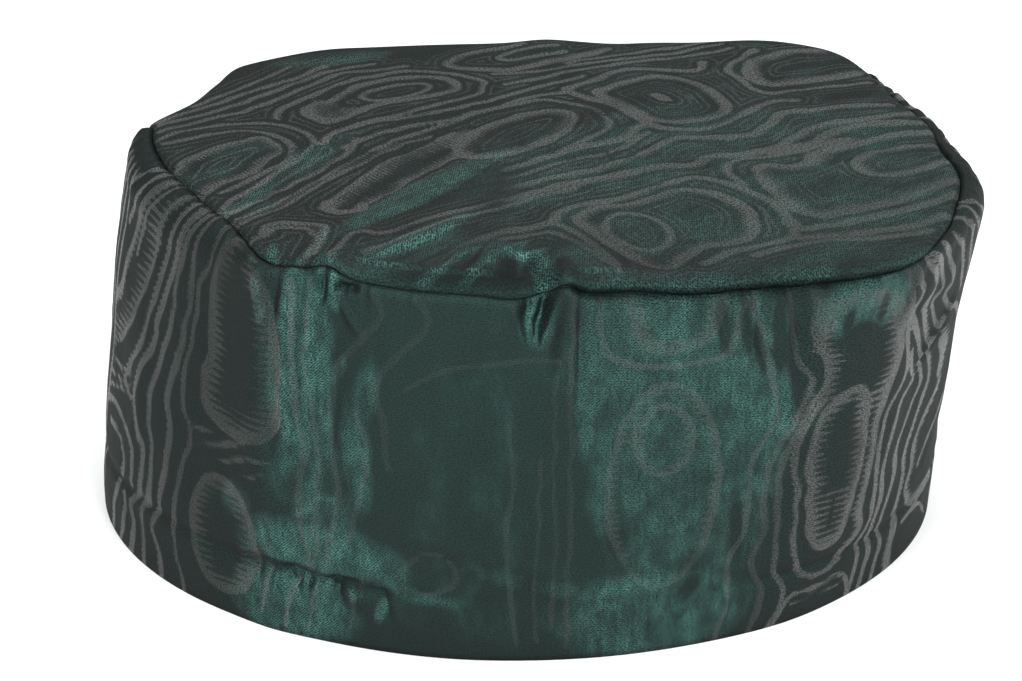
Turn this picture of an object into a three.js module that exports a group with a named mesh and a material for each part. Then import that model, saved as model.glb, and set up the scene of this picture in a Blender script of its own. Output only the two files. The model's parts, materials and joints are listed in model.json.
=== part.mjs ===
// A soft round cap with a flat crown and an upright side, sewn from two cuts of
// thin stiff cloth. The side band is one strip joined into a ring, with its lower
// edge turned in as a hem. The tip is the flat piece on top. A seam joins them.
// Units are millimetres, +Z is up, and the cap rests on its hem.
// The origin is under the middle of the cap, on the surface that it rests on.
// A bearing is an angle round the cap, in degrees: 0 is +X, 90 is the back, 270 the front.

import * as THREE from 'three';

// Driving sizes
const rimHalfWidth = 99.5;
const rimHalfDepth = 79;
const leanHeight = 45;
const clothThickness = 1.6;
const hemThickness = 3;
const hemDepth = 13;
const hemFoldGroove = 0.7;
const hemFoldWidth = 1.4;
const hemFoldReach = 2;
const hemStepHeight = 1;
const seamGap = 0.3;
const tipMiddleHeight = 85.5;

// The middle of the cap's box, measured from the middle of the rim's oval
const boxMiddle = new THREE.Vector2(2.3, -0.5);

// How finely the meshes are divided
const bearingSteps = 120;
const cornerSteps = 3;
const wallShares = [0.16, 0.34, 0.52, 0.7, 0.86];
const tipRings = [0.93, 0.82, 0.66, 0.48, 0.3, 0.13];

// The crown was sewn and handled by eye, so its edge wanders round the rim's oval.
// bearing: where the row stands
// lean: how far the wall stands out of the rim's oval at leanHeight
// edge: how far the crown's edge stands out of it
// round: how far the rounding of that edge reaches in and down
// rise: the height of the crown there
// seam: where the seam runs on that rounding, from 0 at its foot to 1 on the crown
const crownEdge = [
  { bearing: 0, lean: 1.5, edge: 3.5, round: 5, rise: 84.5, seam: 0.94 },
  { bearing: 348, lean: 2, edge: 6.2, round: 4.5, rise: 85.5, seam: 0.94 },
  { bearing: 335, lean: 2.5, edge: 7.5, round: 4, rise: 86, seam: 0.94 },
  { bearing: 325, lean: 4, edge: 9.5, round: 3, rise: 86.5, seam: 0.7 },
  { bearing: 314, lean: 6.5, edge: 12.5, round: 2.5, rise: 87, seam: 0.25 },
  { bearing: 300, lean: 4, edge: 8, round: 2.2, rise: 87.5, seam: 0.06 },
  { bearing: 285, lean: 2.5, edge: 1.5, round: 2.2, rise: 87.5, seam: 0.06 },
  { bearing: 272, lean: 2, edge: 0, round: 2.2, rise: 87.5, seam: 0.06 },
  { bearing: 258, lean: 1.5, edge: -1, round: 2.2, rise: 87.5, seam: 0.06 },
  { bearing: 249, lean: 1, edge: -1.5, round: 3, rise: 87.5, seam: 0.25 },
  { bearing: 238, lean: 0, edge: -2, round: 4, rise: 87.5, seam: 0.8 },
  { bearing: 226, lean: -2.5, edge: -7, round: 8, rise: 86.5, seam: 0.94 },
  { bearing: 211, lean: -4.5, edge: -11, round: 9.5, rise: 86, seam: 0.94 },
  { bearing: 190, lean: -5.5, edge: -12.5, round: 8, rise: 86, seam: 0.94 },
  { bearing: 169, lean: -4.5, edge: -9, round: 6, rise: 86, seam: 0.94 },
  { bearing: 153, lean: -3.5, edge: -10, round: 6, rise: 85.5, seam: 0.94 },
  { bearing: 143, lean: -2, edge: -7, round: 4, rise: 85, seam: 0.8 },
  { bearing: 134, lean: -0.5, edge: 0.5, round: 3, rise: 84.5, seam: 0.6 },
  { bearing: 112, lean: 1, edge: -0.5, round: 3, rise: 84.5, seam: 0.3 },
  { bearing: 90, lean: 1, edge: -3, round: 2.5, rise: 85, seam: 0.06 },
  { bearing: 66, lean: 3.5, edge: 4.5, round: 2.5, rise: 85, seam: 0.06 },
  { bearing: 47, lean: 9, edge: 17.5, round: 2.5, rise: 85, seam: 0.06 },
  { bearing: 35, lean: 5.5, edge: 10, round: 3, rise: 84.5, seam: 0.6 },
  { bearing: 24, lean: 2.5, edge: 3.5, round: 4.5, rise: 84.5, seam: 0.94 },
  { bearing: 10, lean: 1.5, edge: 2, round: 4, rise: 84.5, seam: 0.94 },
].sort((first, second) => first.bearing - second.bearing);

// Folds and dents of the wall: where each lies, how wide and tall it is, and how far
// it stands out, or in where that is below zero
const wallFolds = [
  { bearing: 238, width: 4.5, height: 50, tall: 42, out: 1.6 },
  { bearing: 246, width: 5, height: 62, tall: 30, out: -1.2 },
  { bearing: 229, width: 6, height: 55, tall: 30, out: -1.0 },
  { bearing: 262, width: 9, height: 40, tall: 34, out: 1.0 },
  { bearing: 272, width: 3.2, height: 80, tall: 11, out: -2.4 },
  { bearing: 267, width: 3, height: 78, tall: 10, out: 0.9 },
  { bearing: 278, width: 3.5, height: 76, tall: 14, out: 1.2 },
  { bearing: 291, width: 8, height: 48, tall: 34, out: -0.9 },
  { bearing: 306, width: 7, height: 40, tall: 40, out: 0.9 },
  { bearing: 352, width: 8, height: 27, tall: 7, out: -1.3 },
  { bearing: 200, width: 12, height: 40, tall: 25, out: -0.8 },
];

// Soft folds of the tip that run in from its seam: where each starts, how wide and
// long it is, and how far it stands up, or down where that is below zero
const tipFolds = [
  { bearing: 272, width: 3.6, long: 22, up: -1.6 },
  { bearing: 266, width: 4, long: 28, up: 1.1 },
  { bearing: 279, width: 4.5, long: 26, up: 1.0 },
  { bearing: 256, width: 6, long: 26, up: 0.8 },
  { bearing: 243, width: 3.5, long: 16, up: -0.8 },
];

// The seam keeps clear of both ends of the rounding by these shares of it
const lowestSeam = 0.06;
const highestSeam = 0.94;

const quarterTurn = 90;
const fullTurn = 360;
const toRadians = Math.PI / 180;

// The shortest way round from one bearing to another
function bearingGap(from, to) {
  return ((to - from + 1.5 * fullTurn) % fullTurn) - fullTurn / 2;
}

// A smooth closed curve through one column of the table
function columnAt(rows, column, bearing) {
  const count = rows.length;
  let right = rows.findIndex((row) => row.bearing > bearing);
  if (right < 0) right = 0;
  const near = [-2, -1, 0, 1].map((step) => rows[(right + step + count) % count]);
  const at = near.map((row) => bearingGap(bearing, row.bearing));
  const value = near.map((row) => row[column]);
  const slopeLow = (value[2] - value[0]) / (at[2] - at[0]);
  const slopeHigh = (value[3] - value[1]) / (at[3] - at[1]);
  const span = at[2] - at[1];
  const part = -at[1] / span;
  const lift = part * part * (3 - 2 * part);
  const early = part * (1 - part) ** 2;
  const late = part * part * (1 - part);
  return value[1] * (1 - lift) + value[2] * lift + span * (slopeLow * early - slopeHigh * late);
}

function crownEdgeAt(bearing) {
  const at = (column) => columnAt(crownEdge, column, bearing);
  const round = at('round');
  const seam = THREE.MathUtils.clamp(at('seam'), lowestSeam, highestSeam);
  const rise = at('rise');
  return { lean: at('lean'), edge: at('edge'), round, seam, rise, foot: rise - round };
}

// A bell shape, 1 in its middle
function bell(distance, width) {
  return Math.exp(-((distance / width) ** 2));
}

function wallFoldAt(bearing, height) {
  let out = 0;
  for (const fold of wallFolds) {
    const across = bell(bearingGap(fold.bearing, bearing), fold.width);
    out += fold.out * across * bell(height - fold.height, fold.tall);
  }
  return out;
}

// The wall's outer line, as a distance out of the rim's oval and a height
function wallLine(bearing, height) {
  const { lean, edge, foot } = crownEdgeAt(bearing);
  const leanShare = (height * (foot - height)) / (leanHeight * (foot - leanHeight));
  const edgeShare = (height * (height - leanHeight)) / (foot * (foot - leanHeight));
  const groove = hemFoldGroove * bell(height - hemDepth, hemFoldWidth);
  const out = lean * leanShare + edge * edgeShare + wallFoldAt(bearing, height) - groove;
  return new THREE.Vector2(out, height);
}

// The rounding of the crown's edge, turned from 0 at its foot to 90 degrees on the crown
function cornerLine(bearing, turn) {
  const { edge, round, foot } = crownEdgeAt(bearing);
  const out = edge - round * (1 - Math.cos(turn * toRadians)) + wallFoldAt(bearing, foot);
  return new THREE.Vector2(out, foot + round * Math.sin(turn * toRadians));
}

function ovalPoint(bearing) {
  const angle = bearing * toRadians;
  return new THREE.Vector2(rimHalfWidth * Math.cos(angle), rimHalfDepth * Math.sin(angle));
}

function ovalNormal(bearing) {
  const angle = bearing * toRadians;
  return new THREE.Vector2(Math.cos(angle) / rimHalfWidth, Math.sin(angle) / rimHalfDepth).normalize();
}

// A point given by its bearing, its distance out of the rim's oval and its height
function placed(bearing, outAndHeight) {
  const flat = ovalPoint(bearing).addScaledVector(ovalNormal(bearing), outAndHeight.x);
  return new THREE.Vector3(flat.x - boxMiddle.x, flat.y - boxMiddle.y, outAndHeight.y);
}

// The same point on the cloth's inner face: square to the outer line by the thickness
function inside(line, at, thickness) {
  const step = 0.05;
  const along = line(at + step).sub(line(at - step)).normalize();
  const inward = new THREE.Vector2(-along.y, along.x);
  return line(at).addScaledVector(inward, thickness);
}

// A ring of points, one for each bearing
function ring(pointAt) {
  const points = [];
  for (let step = 0; step < bearingSteps; step += 1) {
    points.push(pointAt((fullTurn * step) / bearingSteps));
  }
  return points;
}

// Half of the seam's gap, as a turn of the rounding
function gapTurn(bearing) {
  return seamGap / 2 / crownEdgeAt(bearing).round / toRadians;
}

// A closed mesh over rings of points. Poles close its two ends, and without them
// the last ring joins the first.
function closedMesh(rings, poles) {
  const positions = [];
  const indices = [];
  for (const points of rings) {
    for (const point of points) positions.push(point.x, point.y, point.z);
  }
  const bands = poles ? rings.length - 1 : rings.length;
  for (let band = 0; band < bands; band += 1) {
    const low = band * bearingSteps;
    const high = ((band + 1) % rings.length) * bearingSteps;
    for (let step = 0; step < bearingSteps; step += 1) {
      const next = (step + 1) % bearingSteps;
      indices.push(low + step, low + next, high + next);
      indices.push(low + step, high + next, high + step);
    }
  }
  if (poles) {
    const [first, last] = poles;
    const firstIndex = rings.length * bearingSteps;
    const lastRing = (rings.length - 1) * bearingSteps;
    positions.push(first.x, first.y, first.z, last.x, last.y, last.z);
    for (let step = 0; step < bearingSteps; step += 1) {
      const next = (step + 1) % bearingSteps;
      indices.push(firstIndex, next, step);
      indices.push(firstIndex + 1, lastRing + step, lastRing + next);
    }
  }
  const geometry = new THREE.BufferGeometry();
  geometry.setAttribute('position', new THREE.Float32BufferAttribute(positions, 3));
  geometry.setIndex(indices);
  geometry.computeVertexNormals();
  return geometry;
}

// The side band: up its outer face from the hem to the seam, then down its inner face
function sideBand() {
  const hemTop = hemDepth + hemFoldReach;
  const hemHeights = [0, hemDepth - hemFoldReach, hemDepth, hemTop];
  const lineAt = (bearing) => (height) => wallLine(bearing, height);
  const cornerAt = (bearing) => (turn) => cornerLine(bearing, turn);
  const lastTurn = (bearing) => quarterTurn * crownEdgeAt(bearing).seam - gapTurn(bearing);
  const footHeight = (bearing, share) => THREE.MathUtils.lerp(hemTop, crownEdgeAt(bearing).foot, share);
  const rings = [];
  for (const height of hemHeights) {
    rings.push(ring((bearing) => placed(bearing, wallLine(bearing, height))));
  }
  for (const share of wallShares) {
    rings.push(ring((bearing) => placed(bearing, wallLine(bearing, footHeight(bearing, share)))));
  }
  for (let step = 0; step <= cornerSteps; step += 1) {
    const turnAt = (bearing) => (lastTurn(bearing) * step) / cornerSteps;
    rings.push(ring((bearing) => placed(bearing, cornerLine(bearing, turnAt(bearing)))));
  }
  for (let step = cornerSteps; step >= 0; step -= 1) {
    const turnAt = (bearing) => (lastTurn(bearing) * step) / cornerSteps;
    const faceAt = (bearing) => inside(cornerAt(bearing), turnAt(bearing), clothThickness);
    rings.push(ring((bearing) => placed(bearing, faceAt(bearing))));
  }
  for (const share of [...wallShares].reverse()) {
    const faceAt = (bearing) => inside(lineAt(bearing), footHeight(bearing, share), clothThickness);
    rings.push(ring((bearing) => placed(bearing, faceAt(bearing))));
  }
  const innerHem = [
    { height: hemDepth + hemStepHeight, thickness: clothThickness },
    { height: hemDepth, thickness: hemThickness },
    { height: 0, thickness: hemThickness },
  ];
  for (const { height, thickness } of innerHem) {
    const faceAt = (bearing) => new THREE.Vector2(wallLine(bearing, height).x - thickness, height);
    rings.push(ring((bearing) => placed(bearing, faceAt(bearing))));
  }
  return closedMesh(rings);
}

function tipFoldAt(bearing, inward) {
  let up = 0;
  for (const fold of tipFolds) {
    up += fold.up * bell(bearingGap(fold.bearing, bearing), fold.width) * bell(inward, fold.long);
  }
  return up;
}

// The tip: out along its under face to the seam, then back over its upper face
function tip() {
  const middle = new THREE.Vector3(-boxMiddle.x, -boxMiddle.y, tipMiddleHeight);
  const firstTurn = (bearing) => quarterTurn * crownEdgeAt(bearing).seam + gapTurn(bearing);
  const cornerAt = (bearing) => (turn) => cornerLine(bearing, turn);
  const turnAt = (bearing, step) => {
    const first = firstTurn(bearing);
    return first + ((quarterTurn - first) * step) / cornerSteps;
  };
  const upperAt = (bearing, share) => {
    const { edge, round, rise } = crownEdgeAt(bearing);
    const start = placed(bearing, new THREE.Vector2(edge - round, rise));
    const point = start.clone().lerp(middle, 1 - share);
    point.z = THREE.MathUtils.lerp(rise, tipMiddleHeight, 1 - share * share);
    point.z += tipFoldAt(bearing, start.distanceTo(point));
    return point;
  };
  const lowered = (point) => new THREE.Vector3(point.x, point.y, point.z - clothThickness);
  const underRings = [];
  const upperRings = [];
  for (const share of tipRings) {
    upperRings.push(ring((bearing) => upperAt(bearing, share)));
    underRings.unshift(ring((bearing) => lowered(upperAt(bearing, share))));
  }
  for (let step = cornerSteps; step >= 0; step -= 1) {
    const faceAt = (bearing) => inside(cornerAt(bearing), turnAt(bearing, step), clothThickness);
    underRings.push(ring((bearing) => placed(bearing, faceAt(bearing))));
  }
  const cornerRings = [];
  for (let step = 0; step <= cornerSteps; step += 1) {
    cornerRings.push(ring((bearing) => placed(bearing, cornerLine(bearing, turnAt(bearing, step)))));
  }
  return closedMesh([...underRings, ...cornerRings, ...upperRings], [lowered(middle), middle]);
}

// Dark green cloth with a watered finish: duller and greyer on the flat crown
const bandCloth = new THREE.MeshStandardMaterial({ color: 0x2e3e3a, roughness: 0.45, metalness: 0 });
const tipCloth = new THREE.MeshStandardMaterial({ color: 0x3a4442, roughness: 0.5, metalness: 0 });

const cap = new THREE.Group();

const bandMesh = new THREE.Mesh(sideBand(), bandCloth);
bandMesh.name = 'side_band';
cap.add(bandMesh);

const tipMesh = new THREE.Mesh(tip(), tipCloth);
tipMesh.name = 'tip';
cap.add(tipMesh);

export default cap;
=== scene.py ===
# A soft round cap of watered cloth: a flat tip sewn to an upright side band.
# Lengths in the shape functions are millimetres, as a pattern cutter would give them,
# and become metres when a mesh is made. A bearing is an angle round the cap in degrees:
# 0 is +X, 90 is the back and 270 the front. An arc is a distance round the rim from the
# front, more than zero on the right.

import json
import math

import bpy
import numpy as np
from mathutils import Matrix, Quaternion, Vector

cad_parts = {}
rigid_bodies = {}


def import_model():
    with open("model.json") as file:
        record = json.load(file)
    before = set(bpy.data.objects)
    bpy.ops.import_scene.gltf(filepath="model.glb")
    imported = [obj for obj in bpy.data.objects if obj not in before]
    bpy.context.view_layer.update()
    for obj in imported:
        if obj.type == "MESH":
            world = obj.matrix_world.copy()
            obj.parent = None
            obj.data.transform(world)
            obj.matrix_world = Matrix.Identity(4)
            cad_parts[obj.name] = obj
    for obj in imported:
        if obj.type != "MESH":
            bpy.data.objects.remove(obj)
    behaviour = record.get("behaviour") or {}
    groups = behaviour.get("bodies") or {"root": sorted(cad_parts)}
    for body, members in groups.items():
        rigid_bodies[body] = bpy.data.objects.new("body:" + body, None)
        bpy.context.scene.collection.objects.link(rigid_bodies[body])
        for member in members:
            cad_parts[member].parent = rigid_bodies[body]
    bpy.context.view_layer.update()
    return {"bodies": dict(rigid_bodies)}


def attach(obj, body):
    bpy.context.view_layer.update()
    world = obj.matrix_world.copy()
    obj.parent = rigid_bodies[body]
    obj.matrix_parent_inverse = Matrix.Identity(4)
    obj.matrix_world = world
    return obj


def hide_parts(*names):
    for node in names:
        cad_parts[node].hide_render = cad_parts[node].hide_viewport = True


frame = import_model()

BODY = next(iter(frame["bodies"]))
MM = 0.001
BACK = 90.0
FRONT = 270.0

# Driving sizes of the cap, as it was cut and sewn
RIM_HALF_WIDTH = 99.5
RIM_HALF_DEPTH = 79.0
LEAN_HEIGHT = 45.0
CLOTH = 1.6
HEM_THICKNESS = 3.0
HEM_DEPTH = 13.0
HEM_LIP = 1.0
INSIDE_ABOVE_HEM = 3.0
SEAM_GAP = 0.3
SHOULDER_REACH = 6.0
TIP_MIDDLE_HEIGHT = 85.5

# The middle of the finished cap's box, from the middle of its rim
BOX_MIDDLE = (2.3, -0.5)

# The crown's edge round the rim's oval, in the columns of CROWN_COLUMNS:
# lean is how far the wall stands out of the oval at LEAN_HEIGHT, edge how far the
# crown's edge does, round how far its rounding reaches, rise its height, and seam
# where the seam runs on the rounding, from 0 at its foot to 1 on the crown
CROWN_COLUMNS = ("bearing", "lean", "edge", "round", "rise", "seam")
CROWN_EDGE = (
    (0, 1.5, 2.6, 7, 84.9, 0.94),
    (10, 1.5, 2.4, 5, 85.0, 0.94),
    (24, 2.5, 4.0, 4.4, 85.0, 0.94),
    (35, 5.5, 10.1, 3, 84.7, 0.6),
    (47, 9, 17.5, 2.5, 85, 0.06),
    (66, 3.5, 4.5, 2.5, 85, 0.06),
    (90, 1, -3, 2.5, 85, 0.06),
    (112, 1, -0.5, 3, 84.5, 0.3),
    (134, -0.5, 0.5, 3, 85.0, 0.3),
    (143, -2, -6.6, 4, 85.3, 0.3),
    (153, -3.5, -10.8, 6, 85.5, 0.3),
    (167, -4.4, -10.2, 6, 85.9, 0.4),
    (174, -4.8, -10.1, 6.3, 86.8, 0.94),
    (190, -5.1, -11.8, 8, 86.3, 0.94),
    (211, -4.5, -11, 9.5, 86, 0.94),
    (226, -2.5, -7, 8, 86.5, 0.94),
    (238, 0, -2, 4, 87.5, 0.8),
    (249, 1, -1.5, 3, 87.5, 0.25),
    (258, 1.5, -1, 2.2, 87.5, 0.06),
    (272, 2, 0, 2.2, 87.5, 0.06),
    (285, 2.5, 1.5, 2.2, 87.5, 0.06),
    (300, 4, 8, 2.2, 87.5, 0.06),
    (314, 6.5, 12.5, 2.5, 87, 0.25),
    (325, 4, 9.5, 3, 86.5, 0.7),
    (335, 2.5, 7, 4.5, 86, 0.94),
    (348, 2, 4.9, 6, 85.4, 0.94),
)
SEAM_LOWEST = 0.06
SEAM_HIGHEST = 0.94

# Folds and dents of the wall: bearing, width, height, how tall, how far out
FOLD_COLUMNS = ("bearing", "width", "height", "tall", "out")
WALL_FOLDS = (
    (238, 4.5, 50, 42, 1.6),
    (246, 5, 62, 30, -1.2),
    (229, 6, 55, 30, -1.0),
    (262, 9, 40, 34, 1.0),
    (272, 3.2, 80, 11, -2.4),
    (267, 3, 78, 10, 0.9),
    (278, 3.5, 76, 14, 1.2),
    (291, 8, 48, 34, -0.9),
    (306, 7, 40, 40, 0.9),
    (352, 8, 27, 7, -1.3),
    (200, 12, 40, 25, -0.1),
    (353, 12, 52, 14, -0.9),
)

# Folds of the tip that run in from its seam: bearing, width, length, how far up
TIP_FOLD_COLUMNS = ("bearing", "width", "long", "up")
TIP_FOLDS = (
    (272, 3.6, 22, -1.6),
    (266, 4, 28, 1.1),
    (279, 4.5, 26, 1.0),
    (256, 6, 26, 0.8),
    (243, 3.5, 16, -0.8),
)

# The seam pulls both cloths in beside it, most between two arcs at the front right, and
# the shadow inside it is painted dark onto both cloths
SEAM_PULL = 1.1
SEAM_PULL_WIDTH = 1.1
SEAM_PULL_SHARE = 0.6
SEAM_PULL_MORE = 0.9
SEAM_PULL_STARTS = 9.0
SEAM_PULL_RISES = 3.0
SEAM_PULL_ENDS = 80.0
SEAM_PULL_FALLS = 20.0
SEAM_SHADE_WIDTH = 0.8
SEAM_SHADE_SPREAD = 1.6
FAR_FROM_SEAM = 99.0

# The hem's fold shows through as a groove, higher on the left, where it wanders
HEM_FOLD_GROOVE = 1.0
HEM_FOLD_WIDTH = 1.4
HEM_FOLD_RISE = 3.6
HEM_FOLD_WANDER = 0.7
HEM_FOLD_WAVES = 7
HEM_FOLD_SHOWS = 0.6
HEM_SHOW_COLUMNS = ("bearing", "width", "more")
HEM_SHOWS = (
    (272, 30, -0.5),
    (246, 14, 0.6),
    (312, 14, 0.2),
)

# Waves of the handled cloth, by how far out, wide and tall one is. Gathers are where the
# sewing pulls: under the seam, at the sides, and above the hem at the front left.
WAVE_COLUMNS = ("name", "out", "wide", "tall", "seed")
BAND_WAVES = (
    ("billow", 0.4, 19, 34, 11),
    ("ripple", 0.2, 7, 15, 12),
    ("crumple", 0.1, 3.2, 4.5, 13),
    ("seam_gathers", 0.35, 1.7, 30, 14),
    ("side_gathers", 0.5, 3.4, 40, 15),
    ("hem_gathers", 0.5, 5, 9, 16),
)
TIP_WAVES = (
    ("billow", 0.5, 17, 26, 31),
    ("ripple", 0.16, 6, 9, 32),
)
SEAM_GATHERS_BELOW = 2.5
SEAM_GATHERS_REACH = 3.5
SIDE_GATHERS_REACH = 12.0
FRONT_HALF_LENGTH = 62.0
HEM_GATHERS_ARC = -42.0
HEM_GATHERS_LENGTH = 22.0
HEM_GATHERS_ALL_ROUND = 0.2
HEM_GATHERS_IN = -0.5
HEM_GATHERS_ABOVE = 3.5
HEM_GATHERS_REACH = 2.4
STILL_BY_RIM = 4.0
STILL_BY_SEAM = 3.0

# The watered pattern, pressed into the cloth: closed rings, and lines that wind between
# them. A line has a solid part, wide in millimetres, and teeth along its ragged side.
# The teeth are on the left as the line goes, or on the right where their length is below
# zero; a ring's are inside it. A course is a few points, across and along. They are a
# place on the flat cloth: on the band the way round from the front and the height, on
# the tip to the right and the back.
RING_COLUMNS = ("across", "along", "long", "wide", "turn", "band", "teeth")
BAND_RINGS = (
    (-66.6, 19.5, 13.6, 9.6, 90, 1.7, 5.0),
    (29.5, 41, 24, 11.5, 90, 0.9, 2.2),
    (29, 52.5, 8, 5.8, 90, 1.2, 1.5),
)
TIP_RINGS = (
    (-2.5, 7, 18.8, 8.8, 52, 1.6, 3.0),
    (22, -51, 10, 6.3, 108, 1.0, 0.8),
    (-31.5, 36, 9.5, 4.6, 36, 1.3, 0.8),
)
LINE_COLUMNS = ("wide", "teeth", "course")
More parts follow.
